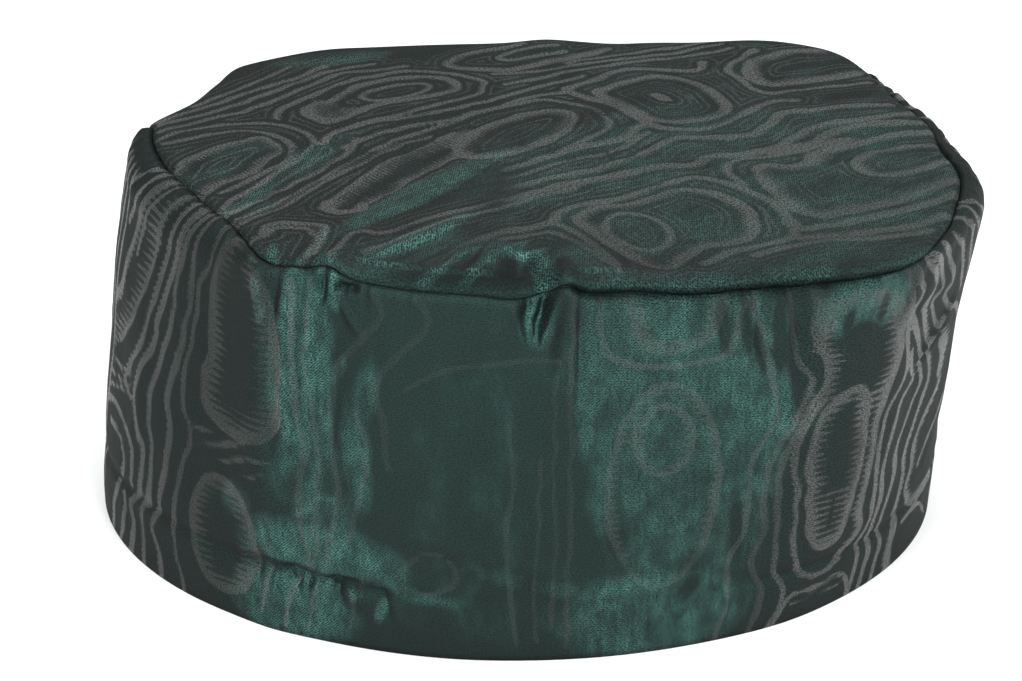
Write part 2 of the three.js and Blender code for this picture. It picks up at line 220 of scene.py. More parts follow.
BAND_LINES = (
    (2.2, 5.5, ((-64, 90), (-66.5, 84), (-70, 77), (-70.6, 70), (-70.3, 62), (-72.8, 53),
        (-71.5, 48), (-65.5, 45.4), (-58, 46), (-51.5, 49.5), (-50, 58), (-50.3, 68), (-51.5, 76),
        (-54, 84))),
    (1.1, -0.8, ((-70, 92), (-71.5, 80), (-75.5, 74), (-75.8, 66), (-79.8, 50), (-79, 45),
        (-76.5, 40), (-79, 33))),
    (1.1, -0.6, ((-79, 33), (-82, 20), (-82, 12), (-79.5, 0))),
    (0.8, 0, ((-78.5, 43), (-72, 42.3), (-60, 42), (-52, 41.5))),
    (0.7, 0, ((-77, 40), (-66, 40), (-54, 39.2))),
    (0.7, 0, ((-75, 37.5), (-66, 37.5), (-56, 37))),
    (1.6, -1.0, ((-74.5, 96), (-78, 79), (-78.2, 70), (-82, 54), (-85.3, 47), (-84, 38),
        (-84.5, 31), (-87.5, 20))),
    (1.5, -0.8, ((-87.5, 18), (-90.5, 12), (-88, 6), (-88, 0))),
    (1.5, -1.0, ((-78.5, 96), (-82, 79), (-84.6, 70), (-84.6, 63), (-92, 45), (-92.5, 38),
        (-90.7, 31), (-92, 17))),
    (1.5, -0.8, ((-92.5, 18), (-95.5, 13), (-95, 6), (-95.5, 0))),
    (1.7, -1.2, ((-82, 96), (-84.5, 79), (-88, 70), (-92, 60), (-92, 56), (-100, 43), (-98, 33),
        (-94.8, 29.5), (-96, 18))),
    (1.7, -0.8, ((-96.5, 17.5), (-100.5, 13), (-99.5, 8), (-102, 0))),
    (1.5, -1.5, ((-86.5, 96), (-88, 88), (-89.5, 79), (-96.5, 60), (-99.5, 52), (-104, 47),
        (-108, 42))),
    (1.4, 1.6, ((-92, 96), (-94, 88), (-96.5, 79), (-97, 75))),
    (1.3, -7.0, ((-96.2, 80), (-97, 75), (-98.5, 69), (-105.5, 57), (-110, 51.5), (-115, 47.5))),
    (2.4, 2.0, ((-102.5, 95), (-106, 88), (-110, 79), (-113.5, 71), (-116.5, 65), (-118, 59),
        (-122, 56))),
    (1.3, -1.0, ((-123, 30), (-114, 32), (-106, 30.5), (-100, 26), (-101, 17))),
    (1.2, -1.0, ((-119, 26), (-110, 26.5), (-105.5, 22), (-107, 17))),
    (1.2, 0.8, ((-98, 95), (-103, 85), (-107, 76), (-109, 70))),
    (2.0, 0.8, ((-107.5, 95), (-112, 88), (-117, 80), (-121, 74))),
    (1.0, 0, ((-113, 94), (-118, 88), (-123, 82))),
    (0.9, 0, ((-122, 33.5), (-110, 37.5), (-102, 38.2))),
    (0.9, 0, ((-122, 37), (-110, 39.5), (-103.5, 40.8))),
    (0.9, 0, ((-122, 41), (-113, 41.8), (-104, 43.5))),
    (1.4, -1.0, ((-108, 15), (-111, 9), (-113.5, 0))),
    (1.4, -1.0, ((-104.5, 14), (-104, 9), (-108, 0))),
    (1.2, 0, ((-46.5, 84), (-46.5, 60), (-44.5, 48), (-46, 32), (-44, 18))),
    (1.0, 0, ((-42.5, 84), (-43.5, 66), (-41.5, 50), (-42, 36), (-43, 20))),
    (1.1, 0, ((-28.5, 84), (-27.5, 78), (-37, 65), (-38, 46), (-37, 38), (-41, 18))),
    (1.3, 0, ((-20, 84), (-18, 78), (-28, 65), (-27, 57), (-25.5, 46))),
    (1.0, 0, ((-33, 58), (-30.5, 47), (-35, 27))),
    (0.8, 0, ((-22, 64), (-14, 69), (-2, 71), (8, 71))),
    (0.9, 0, ((-24, 22), (-19, 27), (-14, 26), (-13, 20), (-19, 16.5))),
    (0.8, 0, ((-2, 60), (-1, 45), (-2.5, 32), (0, 4))),
    (0.8, 0, ((4.5, 50), (3.5, 20), (4, 5))),
    (0.8, 0, ((7.5, 68), (7, 50), (7.5, 30), (7, 8))),
    (0.9, 0, ((10.5, 84), (10, 70), (10.5, 45), (10, 3))),
    (0.7, 0, ((-53.5, 16), (-57.5, 3))),
    (0.7, 0, ((-47.5, 16), (-51, 2))),
    (0.7, 0, ((-42.5, 16), (-46, 2))),
    (0.7, 0, ((-33, 16), (-36.5, 2))),
    (2.2, 2.0, ((21.5, 84), (23.5, 76), (28, 73), (34, 74), (37.5, 77), (39, 84))),
    (1.2, 0, ((16, 84), (15.5, 78), (18, 72), (24, 69.5), (33, 69.5), (41, 72), (43, 84))),
    (1.1, 0, ((44.5, 84), (49, 66), (51.5, 55), (47.5, 45), (47.5, 28), (44, 20), (45, 10),
        (43, 0))),
    (1.2, 0, ((50.5, 84), (54, 69), (57.5, 61), (52, 46), (51, 36), (52, 26), (50, 19), (53, 10),
        (51, 0))),
    (1.5, 3.6, ((56, 84), (57, 74), (59.5, 68), (60.5, 61))),
    (1.1, -0.5, ((60.5, 62), (58, 56), (54.4, 45), (54, 36), (55, 24), (56, 15), (58.5, 9),
        (56, 0))),
    (1.1, -0.9, ((60.6, 58), (56.6, 47), (58.4, 34), (59.2, 24), (61, 15.5), (65, 11.3), (71, 11.6),
        (75, 16))),
    (1.8, 1.6, ((75, 16), (78, 19), (76.3, 26), (76.4, 36), (75.4, 46), (76.5, 55))),
    (2.4, 4.0, ((76.3, 55), (77.8, 62), (77, 69), (75, 76), (71, 80), (65, 81.5), (60, 79.5),
        (57.5, 74))),
    (1.6, 3.3, ((66.2, 58.5), (61.5, 54.5), (59.9, 48), (60.4, 40), (62.8, 25), (65, 19.6),
        (69, 18.5), (72.3, 22.5), (72.6, 40), (71.4, 52), (69.7, 57.7), (66.2, 58.5))),
    (-0.6, 4.0, ((67.6, 32), (68, 21))),
    (-0.6, -4.0, ((67.6, 32), (68, 21))),
    (1.0, 0, ((57, 0), (60, 7), (67, 7.6), (75, 7.5), (79, 0))),
    (0.8, 0, ((61, 5), (67, 5.4), (74, 5))),
    (1.2, 0.5, ((73.5, 86), (77, 80), (79.5, 68), (83, 58.5), (83.5, 55.5), (79.5, 50.5),
        (78.6, 46), (79, 36), (81.7, 21), (79, 15), (80, 8), (78.5, 0))),
    (1.3, -0.6, ((77, 84), (82, 77), (80, 73.3), (81.5, 69.5), (87.5, 61.5), (93.5, 50.5),
        (94.3, 48), (89.5, 40.5), (87.7, 34), (89.3, 26), (87.3, 15), (88.7, 9), (87.2, 0))),
    (1.4, 0.5, ((84, 61), (87, 55), (89.2, 51.7), (85, 49.3), (83.5, 44), (82.3, 33), (84.8, 24),
        (83, 15), (83.7, 9), (82.5, 0))),
    (1.3, 1.4, ((80.5, 84.5), (88.7, 75.4), (84, 72.5), (85, 70), (93.5, 58), (98.5, 49),
        (98.3, 44.5), (95, 37), (92.8, 31), (94.6, 25), (93.3, 15))),
    (2.6, -1.2, ((95.5, 12), (93.5, 6), (94, 0))),
    (1.3, 0, ((83, 85), (88.5, 80), (93.6, 72.5), (89.5, 70.6), (91, 68), (96, 62), (99, 62.7))),
    (1.5, 0, ((88, 85), (93.5, 79.5), (99.6, 71.2), (96.5, 69.8), (98, 67.5), (102, 64), (107, 62),
        (113, 57))),
    (1.2, 1.0, ((93.5, 85), (100, 79), (104, 74), (108, 65.5))),
    (1.2, 0.8, ((98.5, 88), (105, 81), (111, 72), (114, 66))),
    (1.0, 0, ((103, 89), (109, 82), (115, 76), (119, 70))),
    (1.0, 0, ((107, 88), (114, 82), (121, 78))),
    (1.4, 0, ((92, 60.3), (97, 58.5))),
    (3.0, 3.0, ((102.5, 55), (106, 51), (106, 46))),
    (1.6, 2.0, ((109, 41.5), (102.7, 37), (98.8, 31), (99.5, 24), (97.8, 19), (102, 13.5),
        (110, 12), (121, 12))),
    (1.2, 1.0, ((116, 35), (107.7, 28), (103.5, 23))),
    (1.0, 0, ((99, 10), (104, 10.5), (110, 9), (117, 3))),
)
TIP_LINES = (
    (1.1, 0.5, ((7, -5), (15, 4), (19, 10.7), (17.7, 18), (15, 24), (9, 28.5), (1.7, 29.3),
        (-12, 21), (-20, 12), (-28, 5), (-34, -3))),
    (0.9, 5.0, ((-17, 8), (-25, -4), (-31.5, -11), (-37.7, -24), (-42.5, -34))),
    (2.2, 0, ((-42.5, -34), (-42.3, -38.5), (-39, -41), (-35.5, -39.5), (-35, -37))),
    (0.5, 3.0, ((-33, -35), (-20, -14), (-13, -5))),
    (0.8, -1.2, ((-22, 5), (-30.2, -2.5), (-36.5, -11), (-45.2, -25), (-52.7, -39), (-61, -50))),
    (0.6, 1.0, ((-27, 5), (-35.2, -4), (-47, -24), (-54, -36), (-62, -48))),
    (0.8, -1.2, ((-39, 3), (-40.2, -6), (-54, -29), (-61.5, -41), (-64, -46))),
    (0.9, 0.5, ((-83, -1), (-79, 5), (-70.2, 11), (-60, 12.5), (-54, 9), (-49, 2), (-50, -7),
        (-62, -31), (-65, -41))),
    (1.0, 2.5, ((-69.5, -33), (-67, -25), (-60, -17), (-57.7, -10), (-55.3, -5), (-58, 0.5),
        (-62.5, 2), (-75, -10), (-77, -20))),
    (1.0, 0, ((-81.5, -3), (-70.2, 4.5), (-64, 6.5), (-58, 4), (-53, -3), (-54.5, -12),
        (-66, -29))),
    (1.0, -2.4, ((-54.5, -53), (-53.5, -48.8), (-48, -47), (-42, -48.5), (-41.5, -54), (-44, -66))),
    (0.7, 0, ((-56, -58), (-52, -51.5), (-46, -50), (-44, -53))),
    (0.9, -1.4, ((-39.5, -68), (-36.8, -55), (-34, -52), (-29, -53), (-12, -38), (3, -27.5))),
    (0.7, -1.0, ((-33, -64), (-25.2, -56), (-12, -42.5), (-5, -38), (2, -31), (10, -26.5))),
    (0.9, 0, ((-5, -21.7), (3, -15), (9.7, -9.7), (17.7, -5.7), (24, 2), (28, 8))),
    (2.2, -1.4, ((-5, -33.7), (3, -27.3), (16.3, -20), (28, -12.8), (36.3, -11.2), (41, -6),
        (48.3, -4.3), (56, -1.5), (67, 5))),
    (1.5, -1.4, ((-5, -27), (3, -21.7), (15, -15), (24.3, -7), (33, 3.5), (41.7, 5.3), (48.3, 6.7),
        (53.7, 10.7), (57.7, 17.3), (61, 22), (75, 25.3), (86, 27.3))),
    (1.7, 1.0, ((-5, -16), (7, -6), (21, 3), (24.3, 9), (27, 13.3))),
    (1.7, 1.0, ((35, -67), (41, -61.5), (48.5, -57.7), (54, -52), (53.5, -40), (51, -33.7),
        (45.7, -27), (40.3, -21.7), (34, -20), (20.3, -31), (9.7, -36.3), (6, -41), (4.3, -45.7),
        (-2, -48.9), (-7, -52.9), (-10.5, -56.8), (-15, -60.2), (-20, -68))),
    (1.0, 0, ((4.3, -45.7), (8.3, -52), (13, -61), (17, -69))),
    (0.9, 0, ((-5.5, -56.5), (-2, -53), (1, -51), (4.6, -52), (8, -57), (13, -65), (17.5, -73))),
    (1.8, 2.5, ((9.7, -44.3), (12.3, -52), (17, -60.5), (22, -66), (26.5, -68), (31, -64),
        (35, -58.5), (40, -57), (44.8, -53.5), (46.5, -46), (46, -38.5), (42, -32), (36, -28),
        (31.5, -27.5), (21, -35.5), (14, -37.5), (9.7, -44.3))),
    (2.3, 3.0, ((72, 5), (65, -4.5), (61, -11.5), (57, -14), (52.5, -12.5), (50, -17), (52, -28),
        (56, -38), (60.5, -42), (66, -40), (79, -33), (93, -20.5))),
    (1.2, 0, ((46.5, -25), (44, -18), (44, -12), (47, -8), (53, -7), (61.7, -1.7), (70, 5))),
    (2.3, 1.4, ((53.7, -46), (56, -49.7), (60, -48.3), (69, -44.3), (83, -36.3), (92, -29))),
    (2.2, 1.4, ((55, -55), (61.7, -53.7), (77.7, -48), (87, -42))),
    (1.8, 1.2, ((45, -64), (52.3, -60), (60.3, -56.6), (70, -55), (82, -50.5))),
    (1.7, 2.2, ((94, 2), (86, 1), (78, -3), (73, -8), (72.5, -13), (75, -18), (80, -18.5),
        (88, -14), (94, -8))),
    (2.2, -1.4, ((62, -9), (64.3, -4), (75, 2.7), (80.3, 6.7), (88.3, 9.3), (95, 10))),
    (2.3, -1.4, ((55, -5), (61.7, 0), (67, 6.7), (73.7, 12), (83, 14.7), (94, 16))),
    (2.0, -1.4, ((48.3, -4), (55, 0), (59, 4), (64.3, 11), (69.7, 14.7), (80.3, 18), (90, 22))),
    (1.9, 1.6, ((17, 34.7), (24.3, 22.7), (28.5, 16.5), (34, 14.7), (40, 16), (45, 19),
        (47.3, 24.5), (46, 32), (43.5, 38.5), (39, 44), (33, 47), (28, 45.7), (21, 40),
        (17, 34.7))),
    (2.4, 0, ((30.5, 33), (33, 29.5))),
    (1.7, -1.0, ((64.3, 30.7), (58, 29), (49, 17.5), (43, 11.5), (36, 9.8), (29, 12), (19, 26.7),
        (10, 35.5), (11, 39.5), (17, 44.5), (22, 50), (28, 52.5), (41.5, 51), (43.7, 57))),
    (1.2, 0, ((-5, 41.3), (3, 45.3), (11, 50.7), (28.3, 58), (39, 61), (52.3, 67))),
    (1.2, 0.4, ((-7.7, 49), (0, 50), (6, 52), (15, 57), (35, 63.5), (50, 71))),
    (1.1, 0, ((10, 57), (16, 61), (36, 68), (46, 73))),
    (1.8, 1.5, ((-1.5, 71), (-14, 65), (-18, 61), (-20, 56.5), (-15.2, 52.8), (-7.7, 51.8),
        (0, 53.8), (14, 63), (21, 69))),
    (1.3, 0.6, ((8, 69), (0, 66.5), (-6, 63), (-6.5, 60), (-2, 59), (10, 65))),
    (2.3, 2.6, ((74, 67.3), (65.7, 65.3), (58, 59.5), (54.5, 53), (55.5, 45.5), (59, 41.8),
        (66, 43.5), (82, 50))),
    (1.3, 0, ((58, 66), (51.5, 57), (49.7, 51), (52.3, 44.5), (54.5, 38.5), (59, 35.7),
        (69.7, 39.5), (84, 43))),
    (1.6, 1.5, ((-45.2, 12.8), (-37.5, 23), (-32.7, 27.3), (-22, 32.5), (-16.8, 38), (-17.7, 43.8),
        (-23, 47.5), (-30.2, 47.3), (-36.5, 44.8), (-42.5, 38), (-47, 29), (-52, 23), (-52, 18.5),
        (-48.5, 14.5), (-45.2, 12.8))),
    (0.5, 7.0, ((-50.5, 23), (-50, 18.5), (-46, 15), (-42, 17.5))),
    (1.2, 0.5, ((-40.2, 10.5), (-27.7, 20.5), (-13, 32), (-10.5, 39), (-10.5, 44), (-15, 47.5),
        (-22, 51.3), (-29, 52), (-36, 49), (-43, 44), (-53, 30), (-58, 22), (-58.5, 16))),
    (1.2, 0, ((-46, -1), (-43, 7), (-36, 12.5), (-17, 23), (-8, 30), (0, 36.5), (14, 47))),
    (1.2, 0.5, ((-41, -3), (-36, 4), (-28, 10.5), (-18, 16), (-8, 24), (0, 31), (6, 34), (10, 35))),
    (1.2, 0.5, ((-84, 4), (-74, 14.5), (-66.5, 20.5), (-60, 28), (-52, 41), (-46, 48.5),
        (-38, 51.5), (-30, 55))),
    (1.1, 0, ((-84.6, 7.5), (-81.5, 13), (-67.7, 26), (-60, 36), (-52.7, 46), (-47, 51.5),
        (-38, 56))),
    (1.1, 0, ((-85, 11), (-81.5, 17), (-60, 41), (-50, 54))),
    (1.0, 0, ((-79, 23.8), (-70.2, 35), (-59, 53))),
)

# Each line has teeth of a least length, and its distance is kept within a reach of it
BAND_LEAST_TEETH = 0.3
TIP_LEAST_TEETH = 0.9
PATTERN_REACH = 6.0
NO_SOLID = -9.0

# Between the patterns of two pressings the lines run nearly upright and sway: by how far,
# over what height, and how far each line's sway is ahead of the last one's
PRESSED_REACH = 121.0
UPRIGHT_COUNT = 7
UPRIGHT_WIDE = 1.4
UPRIGHT_TEETH = 0.8
UPRIGHT_TALL = 84.0
UPRIGHT_POINTS = 8
SWAY_COLUMNS = ("out", "tall", "ahead")
UPRIGHT_SWAYS = (
    (1.6, 11, 0.6),
    (0.9, 5, 1),
)

# The pattern wavers a little off its lines
WAVER = 0.5
BAND_WAVER = (5, 4, 3)
TIP_WAVER = (4, 4, 22)

# The tip's cloth is laid with its grain turned
GRAIN_TURN = 42.0
GRAIN_COS = math.cos(math.radians(GRAIN_TURN))
GRAIN_SIN = math.sin(math.radians(GRAIN_TURN))

# Soft oval patches of the cloth. A gleam is a painted sheen: where the green threads are
# painted to shine most, on the crests of folds and in other patches. A dull is painted
# shade, where they are painted to shine less, mostly in the hollows of folds. A fade is
# where the watered bands are faint, partly the cloth's own and partly painted, where the
# pressed bands' sheen is weak. A shade is a painted shadow where the tip rolls down to the
# seam in front and lies in its own shade. Soft is the share of the patch over which it
# fades out.
PATCH_COLUMNS = ("across", "along", "long", "wide", "turn", "share", "soft")
BAND_PAINTED_SHEENS = (
    (-44.5, 62, 32, 7.5, 90, 0.55, 0.4),
    (-47.5, 77, 8, 1.9, 90, 1.0, 0.9),
    (-48.7, 56, 9, 2.4, 90, 1.0, 0.9),
    (-43, 68, 19, 2.3, 88, 1.0, 0.9),
    (-39.5, 56, 10, 1.8, 92, 0.95, 0.9),
    (-37.4, 65, 4, 1.8, 60, 0.9, 0.9),
    (-37.3, 82, 4, 1.5, 95, 0.9, 0.9),
    (-33, 47, 12, 3.6, 95, 0.6, 0.95),
    (-40.5, 36, 4, 1.2, 20, 0.9, 0.9),
    (-45, 32, 4, 1.1, 30, 0.9, 0.9),
    (-39, 29, 3.4, 1.0, 15, 0.85, 0.9),
    (-31, 60, 9, 3.0, 80, 0.4, 0.95),
    (-55, 81, 3, 1.4, 90, 0.7, 0.9),
    (-54, 76.5, 3, 1.2, 90, 0.6, 0.9),
    (-42, 22, 18, 8, -4, 0.9, 0.7),
    (-50, 7, 14, 9, 0, 0.9, 0.7),
    (-25, 17, 13, 2.2, -10, 0.75, 0.9),
    (-54.5, 15.5, 3.2, 1.1, 70, 1.0, 0.9),
    (-45.5, 15, 3, 1.0, 110, 1.0, 0.9),
    (-40, 16.5, 3.2, 1.0, 60, 1.0, 0.9),
    (-34.5, 14.5, 3, 1.0, 80, 0.9, 0.9),
    (-28.5, 11, 3.4, 1.3, 75, 0.9, 0.9),
    (-62, 30, 5, 4, 60, 0.5, 0.9),
    (3, 20, 16, 2.5, -20, 0.35, 0.9),
    (31, 72, 22, 16, 0, 0.56, 0.6),
    (49, 61, 14, 7, -45, 0.72, 0.5),
    (28, 44, 26, 14, 90, 0.47, 0.8),
    (44, 43, 27, 9, 90, 0.5, 0.8),
    (29, 10, 20, 12, 0, 0.63, 0.6),
    (-42, 41, 14, 9, 90, 0.45, 0.9),
    (4, 80, 6, 3.5, 90, 0.7, 0.8),
    (-8, 44, 36, 14, 90, 0.14, 0.7),
    (-6, 14, 20, 10, 0, 0.16, 0.8),
    (66, 79, 10, 7, 0, 0.75, 0.5),
    (67, 74, 5, 2, 90, 0.6, 0.9),
    (13.3, 68, 18, 2.4, 90, 0.7, 0.9),
)
BAND_PAINTED_DIMS = (
    (39.6, 77, 6, 1.2, 98, 1.0, 0.6),
    (43.6, 78, 7, 1.0, 98, 0.9, 0.6),
    (46.6, 72, 6, 1.0, 103, 0.9, 0.6),
    (50, 75, 9, 1.2, 97, 1.0, 0.6),
    (54.6, 66, 13, 2.0, 101, 1.0, 0.6),
    (45.5, 30, 11, 1.3, 96, 0.7, 0.8),
    (36, 15, 4, 2, 60, 0.7, 0.8),
    (20, 32, 9, 2, 92, 0.5, 0.8),
    (-37, 62, 9, 1.6, 88, 0.7, 0.8),
    (-46, 40, 5, 2.4, 60, 0.6, 0.8),
    (-52, 17, 9, 1.6, 2, 0.8, 0.8),
    (-33, 15.5, 9, 1.4, -4, 0.8, 0.8),
    (66.5, 70, 5, 5, 90, 0.85, 0.5),
    (63, 76, 3, 1.2, 84, 0.9, 0.6),
    (70.4, 77.5, 3.4, 1.2, 86, 0.9, 0.6),
)
TIP_PAINTED_DIMS = (
    (-3.5, -71, 8, 3.0, 85, 1.0, 0.8),
    (-13, -69, 8, 1.6, 68, 0.9, 0.8),
    (-19, -66, 8, 1.6, 62, 0.9, 0.8),
    (7, -72, 5, 1.8, 100, 0.8, 0.8),
    (-20, -81, 22, 5, 3, 0.8, 0.8),
)
BAND_FADES = (
    (-14, 43, 130, 36, 90, 0.87, 0.4),
    (32, 43, 130, 24, 90, 0.72, 0.3),
    (104, 76, 24, 14, 90, 0.3, 0.9),
    (29, 20, 17, 14, 0, 0.86, 0.8),
    (-66, 45, 70, 22, 90, 0.62, 0.9),
    (-96, 45, 60, 22, 90, 0.3, 0.9),
    (67, 81, 14, 9, 0, 0.8, 0.8),
    (-56, 8, 8, 14, 90, 0.5, 0.6),
)
TIP_PAINTED_SHEENS = (
    (52, -20, 66, 52, 10, 0.43, 0.9),
    (40, 50, 60, 30, 0, 0.18, 0.9),
    (-24, -31, 24, 4.6, 56, 1.0, 0.7),
    (-11, -12, 14, 3.5, 52, 0.7, 0.9),
    (-22, -55, 16, 3.0, 50, 1.0, 0.8),
    (-16.5, -67.5, 10, 2.2, 60, 0.62, 0.95),
    (-10, -68, 10, 2.2, 72, 0.6, 0.95),
    (-5.5, -63, 10, 1.8, 62, 0.9, 0.9),
    (-0.5, -60.5, 4.5, 2.0, 5, 1.0, 0.9),
    (2.7, -70.5, 12, 2.4, 99, 0.9, 0.95),
    (-18, -62, 18, 10, 15, 0.36, 0.8),
    (-6, -65, 12, 8, 0, 0.42, 0.9),
    (10, -67, 8, 6, 20, 0.45, 0.9),
    (-40, -68, 8, 2.4, 62, 0.5, 0.9),
    (38, -73, 34, 5, 4, 0.36, 0.95),
    (38, -55, 38, 14, 6, 0.3, 0.9),
    (84, -35, 27, 8, 75, 0.4, 0.9),
    (-50, -12, 22, 4, 62, 0.5, 0.9),
    (-59.5, -34, 11, 2.0, 66, 1.0, 0.8),
    (-55, -37, 7, 1.8, 60, 0.5, 0.9),
    (-45, -64, 5, 1.3, 80, 0.7, 0.9),
    (-51, -63, 5, 1.2, 95, 0.7, 0.9),
    (-42, -57, 9, 1.6, 85, 0.5, 0.9),
    (-68, -14, 22, 5, 64, 0.3, 0.9),
    (-48, 60, 16, 5, 18, 0.45, 0.9),
    (69, 54, 10, 7, 32, 0.3, 0.9),
    (62, -27, 12, 9, 60, 0.3, 0.9),
)
TIP_PAINTED_SHADES = (
    (-22, -80, 24, 8, 3, 0.46, 0.9),
    (-3, -76, 9, 6, 0, 0.38, 0.9),
)
TIP_FADES = (
    (46, -26, 60, 55, 0, 0.3, 0.8),
    (-7, -25, 15, 6, 90, 0.85, 1.4),
    (-24, -31, 26, 4.5, 56, 0.9, 0.5),
    (-6, -66, 26, 12, 0, 0.8, 0.6),
    (12, -80, 60, 38, 0, 0.5, 0.6),
    (76, -42, 34, 22, 40, 0.5, 0.6),
    (82, -27, 16, 10, 30, 0.55, 0.6),
)

# Round the back, which isn't seen, the painted sheens are random ovals: how many, from
# which arc, between which ends their values are drawn, and the share and softness of each
# and of the fade round it
HIDDEN_PAINTED_SHEEN_COUNT = 6
HIDDEN_SEED = 43
HIDDEN_FROM = 110.0
HIDDEN_RANGES = {
    "shift": (-8, 8),
    "along": (15, 70),
    "long": (20, 34),
    "wide": (7, 13),
    "turn": (80, 100),
}
HIDDEN_PAINTED_SHEEN = (0.85, 0.7)
HIDDEN_FADE = (0.7, 0.5)

# Folds of the handled cloth, as long soft ridges or valleys: out is the height of the
# ridge off the cloth. On the band along is the height up the wall.
CREASE_COLUMNS = ("across", "along", "long", "wide", "turn", "out")
BAND_CREASES = (
    (97, 61, 9, 1.2, 28, 0.9),
    (96, 57.5, 7, 1.0, 20, -0.8),
    (1.9, 83.2, 1.7, 1.0, 90, -1.1),
    (4.7, 82, 2.6, 1.0, 80, -1.1),
    (0.2, 79, 5, 1.0, 100, 0.6),
    (2.6, 79, 4, 0.8, 95, 0.35),
    (6.2, 79.5, 5.5, 1.0, 72, 0.9),
    (3.6, 77, 3, 0.8, 90, -0.5),
    (9.2, 78, 12, 2.2, 88, 1.2),
    (12, 72, 15, 0.9, 90, -0.7),
    (-34.5, 83.4, 2.4, 0.8, 15, -1.6),
    (-38.3, 80, 7, 1.7, 80, 1.3),
    (-39.4, 81.5, 2.2, 0.7, 85, -0.9),
    (-34.3, 78, 4.5, 0.9, 125, 0.6),
    (-42.6, 72, 15, 2.2, 88, 0.7),
    (-48, 77, 9, 2.0, 88, 0.5),
    (-48.5, 74.3, 1.8, 1.2, 90, -0.8),
    (-50.6, 80, 6, 1.3, 80, -0.8),
    (-54.5, 80, 6, 1.4, 100, 0.7),
    (-48, 55, 10, 2.0, 92, 0.6),
    (-44, 60, 12, 1.5, 90, 0.5),
    (-51.6, 60, 20, 1.6, 90, -0.7),
    (-34, 48, 9, 2.4, 95, 0.5),
    (39.5, 79.5, 6, 1.5, 104, -0.9),
    (43.4, 78, 4, 1.1, 98, -0.6),
    (46.5, 80, 5, 1.3, 104, -0.9),
    (47, 72, 4, 1.0, 118, -0.9),
    (53, 79, 8, 1.6, 97, -0.9),
    (55.2, 67, 8, 1.5, 103, -0.8),
    (53, 57, 2.8, 0.9, 115, -0.9),
    (44.2, 79, 8, 0.8, 100, 0.6),
    (51, 78, 9, 0.8, 102, 0.6),
    (57.5, 80, 8, 1.5, 95, 0.6),
    (-3, 25, 18, 2.0, -18, 0.5),
    (-30, 20, 14, 1.6, -8, 0.6),
    (-41, 15, 9, 1.3, 12, -0.8),
    (-52, 17, 6, 1.2, -15, -0.8),
    (24, 17, 9, 1.8, 20, 0.5),
    (-61, 17, 4, 1.1, 75, 0.6),
    (-57, 14, 4, 1.1, 98, -0.7),
    (-52.5, 12.5, 4.5, 1.1, 80, 0.7),
    (-48, 14, 4, 0.9, 100, -0.7),
    (-43.5, 12.5, 4, 1.1, 86, 0.7),
    (-38, 13, 4.5, 1.0, 104, -0.7),
    (-33, 14, 4, 1.0, 80, 0.6),
    (-27.5, 12.5, 4, 1.0, 100, -0.6),
)
TIP_CREASES = (
    (-22, -30, 24, 3.0, 54, 0.5),
    (-22, -56, 16, 2.0, 50, 0.8),
    (-15.8, -67, 8, 1.2, 64, 0.8),
    (-9.5, -68, 9, 1.3, 76, 0.7),
    (-5.3, -63, 6, 1.2, 62, 0.7),
    (-1, -60.5, 4, 1.5, 5, 0.8),
    (2.4, -69, 9, 1.5, 98, 1.0),
    (-3, -71, 9, 1.8, 85, -1.3),
    (-12.6, -68, 8, 1.0, 70, -0.7),
    (-18.3, -66, 8, 1.1, 62, -0.7),
    (-26.5, -66, 10, 1.5, 55, -0.5),
    (6, -72, 5, 1.2, 100, -0.6),
    (-38, -66, 7, 1.2, 80, -0.6),
    (-45, -64, 6, 1.1, 80, 0.6),
    (-51, -63, 6, 1.1, 95, 0.5),
)

# How far the seam dips or stands above its own line, by arc, and how far from it the
# cloth on both sides goes with it
SEAM_STEP_REACH = 11.0
SEAM_STEP_COLUMNS = ("across", "wide", "up")
SEAM_STEPS = (
    (-52, 6, -1.5),
    (-39, 3.6, 1.5),
    (-16, 15, -0.9),
    (0.5, 5, -1.6),
    (9.3, 2.8, 1.6),
    (33, 9, -1.1),
    (222, 10, 0.7),
    (255, 8, -0.5),
    (274, 8, 0.8),
    (-231, 12, 0.7),
)

# Mesh fineness: points round the cap, and rows of them on each stretch of cloth
BEARINGS = 760
WALL_ROWS = 84
CORNER_ROWS = 9
INNER_ROWS = 24
TIP_ROWS = 84
UNDER_ROWS = 10
COURSE_STEPS = 7
RING_POINTS = 13
RIM_STEPS = 7200

# Where the mesh is finer: about a place, over a width, how much finer
CROWD_COLUMNS = ("at", "width", "more")
FRONT_CROWDING = ((FRONT, 38, 2.6),)
WALL_CROWDING = (
    (1, 0.2, 2.4),
    (0.15, 0.05, 1.2),
)
TIP_CROWDING = ((1, 0.3, 1.6),)
CROWDING_STEPS = 4001

# Smooth noise comes again after this many cells. The band's starts at a place on the
# noise's own sheet in front, and blends into itself over the last part of the rim.
NOISE_CELLS = 256
NOISE_BLEND = 0.1
NOISE_START = (60, 20)

CROWN = dict(zip(CROWN_COLUMNS, np.array(CROWN_EDGE, float).T))


def rows_of(columns, rows):
    """The rows of a short table, each with its values by column name."""
    return [dict(zip(columns, row)) for row in rows]


def bearing_gap(start, end):
    """The shortest way round from one bearing to another, in degrees."""
    return (end - start + 540.0) % 360.0 - 180.0


def plain_gap(start, end):
    return end - start


def bell(distance, width):
    """1 where the distance is nought, falling smoothly to nothing past the width."""
    return np.exp(-((distance / width) ** 2))


def eased(share):
    """A share from 0 to 1, with a slow start and a slow end."""
    return share * share * (3 - 2 * share)


